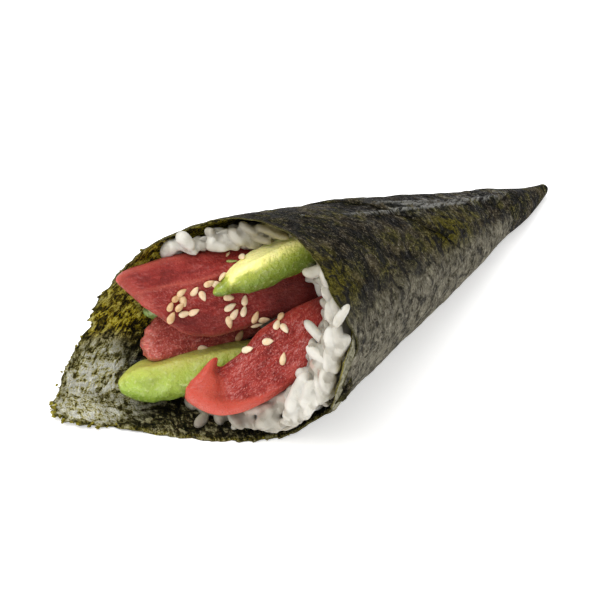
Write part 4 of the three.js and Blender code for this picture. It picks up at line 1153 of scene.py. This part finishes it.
def hero(x0, y0, x1, y1, width=10.0, lift=0.5, chalk_and_light=0.6, pink_shade=0.0, bend=0.0, free=False):
    """A grain whose ends are seen at those points of the frame, lying in the face of the heap."""
    r = width * 0.120
    pts = []
    for x, y in ((x0, y0), (x1, y1)):
        h = cast([cad_rice, nori_tree], x, y)
        if h is None:
            return
        pts.append(h[0])
    p0, p1 = pts
    d = ray((x0 + x1) / 2, (y0 + y1) / 2)
    # both ends near the same depth, so that no grain is stretched along the sight line
    z0, z1 = (p0 - EYE) @ d, (p1 - EYE) @ d
    zm = (z0 + z1) / 2
    lim = 2.2 if lift > 3 else 1.6
    f0, f1 = np.clip(z0 - zm, -lim, lim) + zm, np.clip(z1 - zm, -lim, lim) + zm
    p0 = EYE + (p0 - EYE) * (f0 / z0)
    p1 = EYE + (p1 - EYE) * (f1 / z1)
    p0, p1 = p0 - d * (lift * r), p1 - d * (lift * r)
    if not free:
        p0, p1 = keep_in(p0, 0.9 * r), keep_in(p1, 0.9 * r)
    short = 5.9 - np.linalg.norm(p1 - p0)
    if short > 0:  # the rest of it is buried in the heap, short of the sheet
        way = unit(unit(p0 - p1) * 0.7 + d * 0.75)
        for part in (1.0, 0.75, 0.5, 0.25, 0.0):
            tail = p0 + way * (short * part)
            if nori_clear(tail) > 0.8 * r:
                break
        p0 = tail
    if free:
        free_ids.add(len(grains))
    elif any(through_sheet(p0 + (p1 - p0) * s) for s in (0.0, 0.25, 0.5, 0.75, 1.0)):
        return
    grains.append((p0, p1, r, bend, chalk_and_light, pink_shade))


# grains that stand out, by where their ends lie
HEROES = [
    # x0, y0, x1, y1, width, lift, chalk_and_light, pink_shade, free. Near the right rim:
    (305, 320, 326, 345, 10.5, 2.1, .9, 0, 1), (306, 346, 331, 366, 12, 2.1, 1.1, 0, 1), (321, 300, 334, 308, 11, .7, .6),
    (329, 303, 333, 323, 11, .8, .8), (334, 328, 349, 304, 9.4, 3.4, .7, 0, 1), (338, 353, 349, 334, 12, 1.4, .7, 0, 1),
    (331, 327, 331, 349, 12, .9, .9), (330, 347, 328, 372, 12, .9, .9), (312, 362, 323, 374, 10, .6, .35, .35),
    (324, 371, 327, 392, 12, .9, .8), (336, 354, 335, 374, 11, .7, .75), (333, 374, 327, 394, 11, .7, .75),
    (338, 329, 340, 346, 11, .5, .7), (335, 302, 340, 316, 10, .4, .7), (341, 344, 340, 360, 10, .5, .6),
    (293, 420, 309, 425, 10, .8, .3), (303, 273, 324, 268, 12, 1.3, .85), (307, 280, 323, 276, 10, .9, .6),
    (320, 276, 322, 298, 12, .9, .85), (326, 284, 334, 303, 12, .8, .85), (324, 268, 328, 288, 10, .6, .7),
    # the lump that leans to the lower left
    (308, 372, 294, 398, 15, 1.2, .95), (302, 383, 288, 412, 16, 1.5, .95), (313, 380, 303, 408, 15, 1.3, .95),
    (294, 400, 285, 420, 12, 1.2, .9), (317, 392, 306, 416, 13, 1.1, .9), (300, 404, 297, 425, 12, 1.0, .7),
    (318, 376, 322, 398, 12, .9, .85), (326, 392, 313, 404, 11, .9, .8), (310, 400, 304, 421, 12, 1.0, .7),
    (300, 372, 306, 386, 11, .8, .8), (283, 408, 291, 397, 10, .8, .7), (330, 388, 322, 402, 10, .7, .7),
    (313, 352, 326, 355, 9, .5, .5), (320, 362, 330, 378, 10, .6, .6),
    # the fringe under the front slice
    (187, 400, 194, 411, 10, .7, .15), (207, 414, 195, 428, 10, 1.1, .2), (198, 408, 206, 415, 10, .7, .2),
    (216, 413, 221, 426, 10, .9, .3), (222, 410, 229, 421, 9, .8, .3), (230, 411, 243, 429, 11, 1.0, .3), (240, 412, 236, 424, 9, .7, .3),
    (243, 412, 273, 406, 10, 1.2, .35, .2), (274, 408, 257, 428, 12, 1.2, .35), (250, 415, 256, 430, 10, .8, .35),
    (264, 427, 277, 416, 10, .9, .35), (280, 424, 290, 418, 10, .8, .3), (274, 393, 290, 404, 10, .7, .3, .2),
    (262, 402, 279, 396, 9, .7, .4, .15), (283, 397, 277, 414, 11, .8, .45), (268, 414, 284, 410, 10, .8, .4),
    (290, 392, 283, 406, 10, .8, .5), (244, 418, 252, 427, 9, .7, .3), (208, 410, 216, 417, 9, .6, .25), (286, 422, 301, 420, 10, .8, .3),
    # the heap behind, under the top of the rim
    (163, 256, 172, 237, 14, .9, .85), (173, 240, 186, 236, 13, 1.0, .8), (177, 233, 194, 249, 13, 1.1, .95), (196, 234, 206, 251, 11, .7, .25),
    (216, 225, 209, 247, 12, 1.2, .8), (217, 226, 230, 240, 12, 1.0, .7), (205, 247, 232, 247, 10, .9, .5),
    (234, 234, 245, 245, 12, .8, .5), (246, 237, 254, 248, 11, .7, .45), (170, 248, 182, 254, 11, .7, .85),
    (184, 247, 198, 253, 11, .8, .7), (166, 240, 179, 244, 11, .6, .8), (204, 226, 214, 231, 9, .4, .3),
    (229, 224, 243, 231, 9, .5, .25), (246, 227, 258, 235, 9, .5, .2), (258, 238, 272, 243, 9, .5, .25),
    (262, 228, 275, 233, 9, .5, .15), (252, 244, 266, 247, 9, .5, .3), (226, 242, 240, 249, 10, .7, .5), (273, 234, 290, 238, 9, .5, .2),
]
for k, h in enumerate(HEROES):
    x0, y0, x1, y1, wpx, lift, chalk_and_light = h[:7]
    pink_shade = h[7] if len(h) > 7 else 0.0
    hero(x0, y0, x1, y1, wpx, lift, chalk_and_light, pink_shade, bend=rng.uniform(-0.35, 0.35), free=len(h) > 8)
n_hero = len(grains)

# the rest of the mouth is filled at random, and more sunken where grains are already placed
PLACED = ((276, 250, 354, 430), (180, 392, 300, 434), (158, 220, 306, 258))
ftri = np.array([(f[0], f[1], f[2]) for f in core_faces] + [(f[0], f[2], f[3]) for f in core_faces if len(f) == 4])
tc = (co2[ftri[:, 0]] + co2[ftri[:, 1]] + co2[ftri[:, 2]]) / 3
tn = np.cross(co2[ftri[:, 1]] - co2[ftri[:, 0]], co2[ftri[:, 2]] - co2[ftri[:, 0]])
ta = np.linalg.norm(tn, axis=1) / 2
tn = unit(tn)
ok = ((APEX_X - tc[:, 0]) > 98) & (tn[:, 0] < 0.25)
idx = np.nonzero(ok)[0]
pw = ta[idx] / ta[idx].sum()
slices_near = [trees[k] for k in trees]
tries = rng.choice(idx, size=5200, p=pw)
filled = []
for c in tries:
    p, nn = tc[c], tn[c]
    # skip what can't be seen: faces against the sheet or a slice
    if nori_clear(p + nn * 1.0) < 0.45:
        continue
    if min(clearance(t, p + nn * 1.2) for t in slices_near) < 0.3:
        continue
    L, r = rng.uniform(5.6, 7.6), rng.uniform(1.0, 1.22)
    tan = unit(np.cross(nn, rng.normal(size=3)))
    sx, sy = screen(p)
    behind = any(x0 < sx < x1 and y0 < sy < y1 for x0, y0, x1, y1 in PLACED)
    if sx > 290 and sy < 262:
        continue
    lift = rng.uniform(-0.45, 0.0) if behind else rng.uniform(0.1, 1.15)
    tan = unit(tan + nn * rng.normal() * 0.32)
    q = p + nn * lift
    a, b = q - tan * L / 2, q + tan * L / 2
    if min(seg_dist(a, b, g[0], g[1]) for g in grains) < 1.25:
        continue
    good = True
    for s in (0.05, 0.27, 0.5, 0.73, 0.95):
        w = a + (b - a) * s
        need = 0.75 * r if 0.1 < s < 0.9 else 0.35
        if nori_clear(w) < need * 0.8 or min(clearance(t, w) for t in slices_near) < need:
            good = False
            break
    if not good:
        continue
    grains.append((a, b, r, rng.uniform(-0.4, 0.4), rng.uniform(0.2, 0.9), 0.0))
    if len(grains) > 420:
        break
print("grains:", n_hero, "placed by eye,", len(grains) - n_hero, "filled in")

# cooked grains stick together: they are made too fat by GLUE, joined, and drawn in again, which fills their crevices
GLUE = 0.055
GV, GF = [], []
base = 0
for k, (a, b, r, bend, ch, bl) in enumerate(grains):
    e = unit(b - a) * GLUE
    v, f = grain(a - e, b + e, r + GLUE, bend, 900 + k)
    GV.append(v)
    GF += [tuple(i + base for i in ff) for ff in f]
    base += len(v)
GV = np.concatenate(GV)
GV[:, 2] = np.maximum(GV[:, 2], 0.5)
loose = make("rice_loose", GV, GF)
mod = loose.modifiers.new("fuse", "REMESH")
mod.mode = "VOXEL"
mod.voxel_size = 0.00036
fused = bpy.data.meshes.new_from_object(loose.evaluated_get(bpy.context.evaluated_depsgraph_get()))
bpy.data.objects.remove(loose)
n = len(fused.vertices)
fv = np.empty(n * 3, np.float32); fused.vertices.foreach_get("co", fv)
fv = fv.reshape(-1, 3).astype(float) * 1000
ed = np.empty(len(fused.edges) * 2, np.int32); fused.edges.foreach_get("vertices", ed); ed = ed.reshape(-1, 2)
deg = np.bincount(ed.ravel(), minlength=n)[:, None]
for _ in range(2):  # the joints between them are soft
    acc = np.zeros_like(fv)
    np.add.at(acc, ed[:, 0], fv[ed[:, 1]])
    np.add.at(acc, ed[:, 1], fv[ed[:, 0]])
    fv = fv + 0.5 * (acc / np.maximum(deg, 1) - fv)
fused.vertices.foreach_set("co", (fv / 1000).astype(np.float32).ravel())
fused.update()
fn = np.empty(n * 3, np.float32); fused.vertex_normals.foreach_get("vector", fn)
fv = fv - GLUE * fn.reshape(-1, 3).astype(float)
# each point takes the look of the grain it belongs to
A0, A1 = np.array([g[0] for g in grains]), np.array([g[1] for g in grains])
LA = A1 - A0
L2 = (LA ** 2).sum(1)
owner, at_t = np.empty(n, int), np.empty(n)
for c in range(0, n, 4000):
    Q = fv[c:c + 4000]
    tt = np.clip(((Q[:, None, :] - A0[None]) * LA[None]).sum(-1) / L2[None], 0, 1)
    o = np.argmin(((Q[:, None, :] - (A0[None] + tt[..., None] * LA[None])) ** 2).sum(-1), 1)
    owner[c:c + 4000] = o
    at_t[c:c + 4000] = tt[np.arange(len(o)), o]
# no grain comes through the sheet: what would is pressed back into it
f_az = np.degrees(np.arctan2(fv[:, 1] - APEX_Y, fv[:, 2] - AXIS_LIFT * cone_r(APEX_X - fv[:, 0]))) % 360
f_phi = np.where(f_az > 294, 720 - f_az, 360 - f_az)
f_rim = np.where(f_phi < 140, np.minimum(table_at(RIM, f_phi), table_at(RIM, f_phi + 360)), table_at(RIM, f_phi))
inner = (APEX_X - fv[:, 0] < f_rim - 0.8) & ~np.isin(owner, list(free_ids))
for i in np.nonzero(inner)[0]:
    loc, nor, idx, _ = nori_tree.find_nearest(Vector(fv[i]))
    if nori_side[idx] == 0:
        d = (fv[i] - np.array(loc)) @ np.array(nor)
        if d > -0.2:
            fv[i] -= np.array(nor) * (d + 0.2)
fused.vertices.foreach_set("co", (fv / 1000).astype(np.float32).ravel())
fused.update()
fused.polygons.foreach_set("use_smooth", [True] * len(fused.polygons))
chalk_and_light_v = np.clip(np.array([g[4] for g in grains])[owner] + 0.20 * noise(fv, 1.7, 401) - 0.30 * smooth((np.abs(2 * at_t - 1) - 0.6) / 0.4), 0, 1)
pink_shade_v = np.array([g[5] for g in grains])[owner]


def rice_shade(P):
    """Under the top of the rim the rice is painted a green-brown shade, for the shadow of the rim and the green light
    off the sheet.
    """
    az = np.degrees(np.arctan2(P[:, 1] - APEX_Y, P[:, 2] - AXIS_LIFT * cone_r(APEX_X - P[:, 0]))) % 360
    return 0.92 * bump(az, 352, 44) * smooth((P[:, 2] - 33) / 4)


def rice_dark(P):
    """Where the rim of the sheet closes over it at the right there is hardly any light."""
    x, y = screen(P)
    return smooth((x - 290) / 10) * smooth((262 - y) / 7)


for key, val in (("chalk_and_light", chalk_and_light_v), ("pink_shade", pink_shade_v), ("shade", rice_shade(fv)), ("dark", rice_dark(fv))):
    fused.attributes.new(key, "FLOAT", "POINT").data.foreach_set("value", val.astype(np.float32))
fused.materials.append(rice_mat)
rice = bpy.data.objects.new("rice_grains", fused)
bpy.context.scene.collection.objects.link(rice)
even.attributes.new("shade", "FLOAT", "POINT").data.foreach_set("value", rice_shade(co2).astype(np.float32))
even.attributes.new("dark", "FLOAT", "POINT").data.foreach_set("value", rice_dark(co2).astype(np.float32))
print("rice faces:", len(fused.polygons))
for o in (core, rice):
    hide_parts("rice"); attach(o, "root")

# ------------------------------------------------------------------------------------------------ sesame and crumbs
def seed_mesh(length=3.1, width=1.95, thick=0.95, sides=12, rings=11, s0=0):
    """A sesame seed: a flat drop, pointed at one end."""
    g = np.random.default_rng(s0)
    s = -np.cos(np.linspace(0, np.pi, rings))
    prof = np.sqrt(np.maximum(1 - s * s, 0)) * (1 - 0.34 * s - 0.10 * s * s)
    ang = 2 * np.pi * np.arange(sides) / sides
    V = np.stack([
        np.repeat((s * length / 2)[1:-1, None], sides, 1),
        np.cos(ang)[None, :] * (width / 2 * prof[1:-1])[:, None],
        sup(np.sin(ang), 0.85)[None, :] * (thick / 2 * prof[1:-1])[:, None]], -1).reshape(-1, 3)
    V = np.concatenate([V, [[-length / 2, 0, 0], [length / 2, 0, 0]]])
    V += 0.05 * g.normal(size=3) * 0 + (0.05 * noise(V + s0, 0.9, s0))[:, None] * unit(V)
    m = rings - 2
    F = grid_faces(m, sides, wrap=True).tolist()
    F += [(m * sides, (j + 1) % sides, j) for j in range(sides)]
    F += [(m * sides + 1, (m - 1) * sides + j, (m - 1) * sides + (j + 1) % sides) for j in range(sides)]
    return V, [tuple(f) for f in F]


SEEDS = [
    # x, y in the frame, direction of the pointed end in degrees (0 right, 90 up), toasting
    (171, 318, 60, .55), (176, 298, 20, .75), (183, 301, -70, .45), (170, 306, 80, .5), (184, 314, 10, .25), (194, 312, 25, .35),
    (194.5, 290.5, 70, .45), (202.5, 295.5, -65, .2), (209, 283, 20, .35), (217, 284, -20, .2), (223, 278, -60, .2),
    (243, 258, -50, .2), (228.5, 297, -15, .5), (230, 307, 30, .2), (234, 314, 55, .2), (229, 322, -75, .4), (244.5, 300, 85, .25),
    (243.5, 311, 75, .3), (255, 317, 70, .6), (264, 319, -5, .45), (256.5, 324, 35, .25), (281, 318, -80, .5), (277, 325, 75, .25),
    (284.5, 329, -60, .2), (239, 335.5, 65, .6), (203, 348, -15, .25), (248, 350, 5, .15), (268, 342, 5, .25),
    (283, 359, 80, .4), (178, 306, 45, .6), (181, 292, 30, .5),
]
SV, SF, toast = [], [], []
base = 0
food = list(trees.values())
placed = []
for k, (x, y, deg, tst) in enumerate(SEEDS):
    h = cast(food, x, y)
    if h is None:
        continue
    p, nn = h
    a = math.radians(deg)
    want = math.cos(a) * RIGHT + math.sin(a) * UP
    t = unit(want - nn * (want @ nn) + 1e-9)
    t = unit(t + nn * rng.normal() * 0.12)
    nn2 = unit(nn - t * (nn @ t))
    s = np.cross(nn2, t)
    v, f = seed_mesh(2.75 * rng.uniform(0.90, 1.08), 1.52 * rng.uniform(0.90, 1.10), 0.86, s0=k + 3)
    rise = 0.32
    if any(np.linalg.norm(p - q) < 1.7 for q in placed):
        rise += 0.6
    placed.append(p)
    W = p + nn2 * rise + v[:, :1] * t + v[:, 1:2] * s + v[:, 2:3] * nn2
    SV.append(W)
    SF += [tuple(i + base for i in ff) for ff in f]
    tip = smooth((v[:, 0] - 0.8) / 0.8)
    toast += list(np.clip(tst + 0.35 * tip + 0.05 * rng.normal(), 0, 1))
    base += len(v)
seeds = make("sesame_seeds", np.concatenate(SV), SF, material=sesame(), attrs={"toast": toast})
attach(seeds, "root")

# a green fleck and a crumb on the long slice
leaf_mat = leaf_green()
h = cast(food, 232, 261.5)
if h:
    p, nn = h
    t = unit(RIGHT - nn * (RIGHT @ nn)); s = np.cross(nn, t)
    v, f = seed_mesh(2.5, 0.75, 0.4, s0=77)
    fleck = make("green_fleck", p + nn * 0.15 + v[:, :1] * t + v[:, 1:2] * s + v[:, 2:3] * nn, f, material=leaf_mat)
    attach(fleck, "root")

# crumbs of nori cling to the torn rim
def nori_crumb():
    m, nt, bsdf = new_material("nori_crumb")
    N = Nodes(nt)
    n = N.noise(N.coord(), 1100, 4, 0.65)
    N.put(bsdf.inputs["Base Color"], N.ramp(n, [(0.32, (0.030, 0.024, 0.0012)), (0.48, (0.15, 0.125, 0.006)), (0.60, (0.33, 0.29, 0.035)), (0.72, (0.55, 0.51, 0.16))]))
    N.put(bsdf.inputs["Roughness"], N.remap(n, 0.3, 0.7, 0.45, 0.7))
    bsdf.inputs["Specular IOR Level"].default_value = 0.15
    N.put(bsdf.inputs["Normal"], N.bump(n, 0.0005, 0.9))
    return m


def crumb(g, size):
    """A small torn flake: a lumpy, flattened ball."""
    rings, sides = 6, 8
    th = np.pi * np.arange(1, rings) / rings
    ph = 2 * np.pi * np.arange(sides) / sides
    B = np.stack([np.sin(th)[:, None] * np.cos(ph)[None, :], np.sin(th)[:, None] * np.sin(ph)[None, :], np.repeat(np.cos(th)[:, None], sides, 1)], -1).reshape(-1, 3)
    B = np.concatenate([B, [[0, 0, 1], [0, 0, -1]]])
    B = B * (1 + 0.55 * noise(B, 0.75, int(g.integers(1, 900))))[:, None]
    B = B * np.array([1.0, g.uniform(0.45, 0.9), g.uniform(0.28, 0.5)]) * size
    a, b = g.uniform(0, 2 * np.pi), g.normal() * 0.5
    ca, sa, cb, sb = math.cos(a), math.sin(a), math.cos(b), math.sin(b)
    B = B @ np.array([[ca, sa, 0], [-sa, ca, 0], [0, 0, 1]]) @ np.array([[cb, 0, sb], [0, 1, 0], [-sb, 0, cb]])
    m = rings - 1
    F = grid_faces(m, sides, wrap=True, flip=True).tolist()
    F += [(m * sides, j, (j + 1) % sides) for j in range(sides)]
    F += [(m * sides + 1, (m - 1) * sides + (j + 1) % sides, (m - 1) * sides + j) for j in range(sides)]
    return B, F


g = np.random.default_rng(61)
CV, CF = [], []
base = 0
for lo, hi, count, out, size in ((202, 232, 90, 0.55, 0.44), (232, 258, 16, 0.05, 0.30), (158, 202, 14, 0.0, 0.28), (262, 300, 6, 0.0, 0.28)):
    for _ in range(count):
        phi = g.uniform(lo, hi)
        if lo == 202:
            phi = 222 + 7 * g.normal()
        p = np.array([np.interp(phi, phis, rim_line[:, k]) for k in range(3)])
        p = p + np.array([0.15 - g.uniform(-1.6, 1.0) * out, g.normal() * 0.35 * min(1.0, out * 3), 0.0])
        p[2] = max(p[2] - 0.1 + g.uniform(-0.1, 0.45), 0.22)
        v, f = crumb(g, size * g.uniform(0.55, 1.35))
        v = v + p
        v[:, 2] = np.maximum(v[:, 2], 0.02)
        CV.append(v)
        CF += [tuple(int(i) + base for i in ff) for ff in f]
        base += len(v)
crumbs = make("nori_crumbs", np.concatenate(CV), CF, material=nori_crumb())
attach(crumbs, "root")

# a torn tab of the sheet hangs from the rim at the front, close to the table
TAB_TOP = [(351.5, 377.0, 673.0), (346.0, 384.5, 672.4), (337.0, 393.5, 671.4), (327.0, 403.5, 670.0)]
TAB_LOW = [(353.0, 386.0, 674.6), (347.5, 396.5, 674.4), (338.5, 402.5, 673.0), (328.0, 405.5, 670.6)]
tu, tv2 = np.linspace(0, 1, 34), np.linspace(0, 1, 13)
at_px = lambda rows: np.array([EYE + ray(x, y) * d for x, y, d in rows])
ta0, ta1 = curve(at_px(TAB_TOP), tu), curve(at_px(TAB_LOW), tu)
rag = 1 + 0.16 * noise(np.stack([tu * 9, 0 * tu, 0 * tu], -1), 1.0, 501) + 0.10 * noise(np.stack([tu * 22, 0 * tu, 0 * tu], -1), 1.0, 502)
G1 = ta0[:, None, :] + (ta1 - ta0)[:, None, :] * (tv2[None, :] * rag[:, None])[..., None]
G1 = G1 + BACK * (0.55 * np.sin(np.pi * tv2)[None, :, None] + 0.18 * noise(G1, 1.6, 503)[..., None])
G2 = G1 - BACK * 0.3
both = np.concatenate([G1.reshape(-1, 3), G2.reshape(-1, 3)])
both[:, 2] = np.maximum(both[:, 2], 0.05)
r_, c_ = G1.shape[:2]
TF = grid_faces(r_, c_).tolist() + grid_faces(r_, c_, base=r_ * c_, flip=True).tolist()
k1 = r_ * c_
for i in range(r_ - 1):
    TF += [(i * c_, k1 + i * c_, k1 + (i + 1) * c_, (i + 1) * c_), ((i + 1) * c_ + c_ - 1, k1 + (i + 1) * c_ + c_ - 1, k1 + i * c_ + c_ - 1, i * c_ + c_ - 1)]
for j in range(c_ - 1):
    TF += [(j + 1, k1 + j + 1, k1 + j, j), ((r_ - 1) * c_ + j, k1 + (r_ - 1) * c_ + j, k1 + (r_ - 1) * c_ + j + 1, (r_ - 1) * c_ + j + 1)]
near = np.tile(np.minimum(tv2[None, :] * 0 + 9, (1 - tv2)[None, :] * 2.2) * np.ones((r_, 1)), (2, 1)).ravel()
tab = make("nori_tab", both, [tuple(map(int, f)) for f in TF], material=nori_out,
           attrs={"sheet": both + 90, "edge": near, "painted_table_sheen": 0 * near, "olive": 0 * near, "gloss": 0 * near, "crest_highlight": 0 * near})
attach(tab, "root")

# a toasted crumb at the upper edge of the long slice
h = cast(food, 228, 254.5)
if h:
    v, f = crumb(g, 0.62)
    bit = make("sesame_crumb", h[0] + h[1] * 0.15 + v, [tuple(map(int, ff)) for ff in f], material=bpy.data.materials["sesame"], attrs={"toast": np.full(len(v), 0.6)})
    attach(bit, "root")

# ------------------------------------------------------------------------------------------------ floor, lights, camera
m, nt, bsdf = new_material("white_table")
N = Nodes(nt)
N.put(bsdf.inputs["Base Color"], N.ramp(N.noise(N.coord(), 3.0, 2, 0.5), [(0.3, (0.93, 0.93, 0.93)), (0.7, (0.95, 0.95, 0.95))]))
bsdf.inputs["Roughness"].default_value = 0.7
bsdf.inputs["Specular IOR Level"].default_value = 0.1
bsdf.inputs["Emission Color"].default_value = (1.0, 1.0, 1.0, 1.0)
bsdf.inputs["Emission Strength"].default_value = 0.46
floor = make("table", [(-2500, -2500, 0), (2500, -2500, 0), (2500, 2500, 0), (-2500, 2500, 0)], [(0, 1, 2, 3)], material=m, smooth_shade=False)


def softbox(name, place, aim, size, watts, colour=(1, 1, 1)):
    data = bpy.data.lights.new(name, "AREA")
    data.shape = "RECTANGLE"
    data.size, data.size_y = size
    data.energy = watts
    data.color = colour
    o = bpy.data.objects.new(name, data)
    o.location = place
    o.rotation_euler = (Vector(aim) - Vector(place)).to_track_quat("-Z", "Y").to_euler()
    bpy.context.scene.collection.objects.link(o)
    return o


softbox("key", (-0.34, 0.29, 1.06), (-0.03, 0.0, 0.0), (1.4, 1.2), 13.0, (1.0, 0.985, 0.965))
softbox("fill", (-0.9, -0.55, 0.75), (-0.03, 0.0, 0.01), (0.8, 0.8), 3.2, (1.0, 1.0, 1.0))

world = bpy.data.worlds.new("studio")
bpy.context.scene.world = world
world.use_nodes = True
bg = world.node_tree.nodes["Background"]
bg.inputs[0].default_value = (1.0, 1.0, 1.0, 1.0)
bg.inputs[1].default_value = 0.54

cam_data = bpy.data.cameras.new("camera")
cam_data.sensor_fit = "VERTICAL"
cam_data.sensor_height = 36.0
cam_data.lens = FOCAL * 36.0 / 600.0
cam_data.clip_start, cam_data.clip_end = 0.05, 20.0
cam = bpy.data.objects.new("camera", cam_data)
cam.location = EYE / 1000.0
cam.rotation_euler = Vector(BACK).to_track_quat("Z", "Y").to_euler()
bpy.context.scene.collection.objects.link(cam)
bpy.context.scene.camera = cam
bpy.context.scene.view_settings.view_transform = "Standard"
bpy.context.scene.view_settings.look = "None"
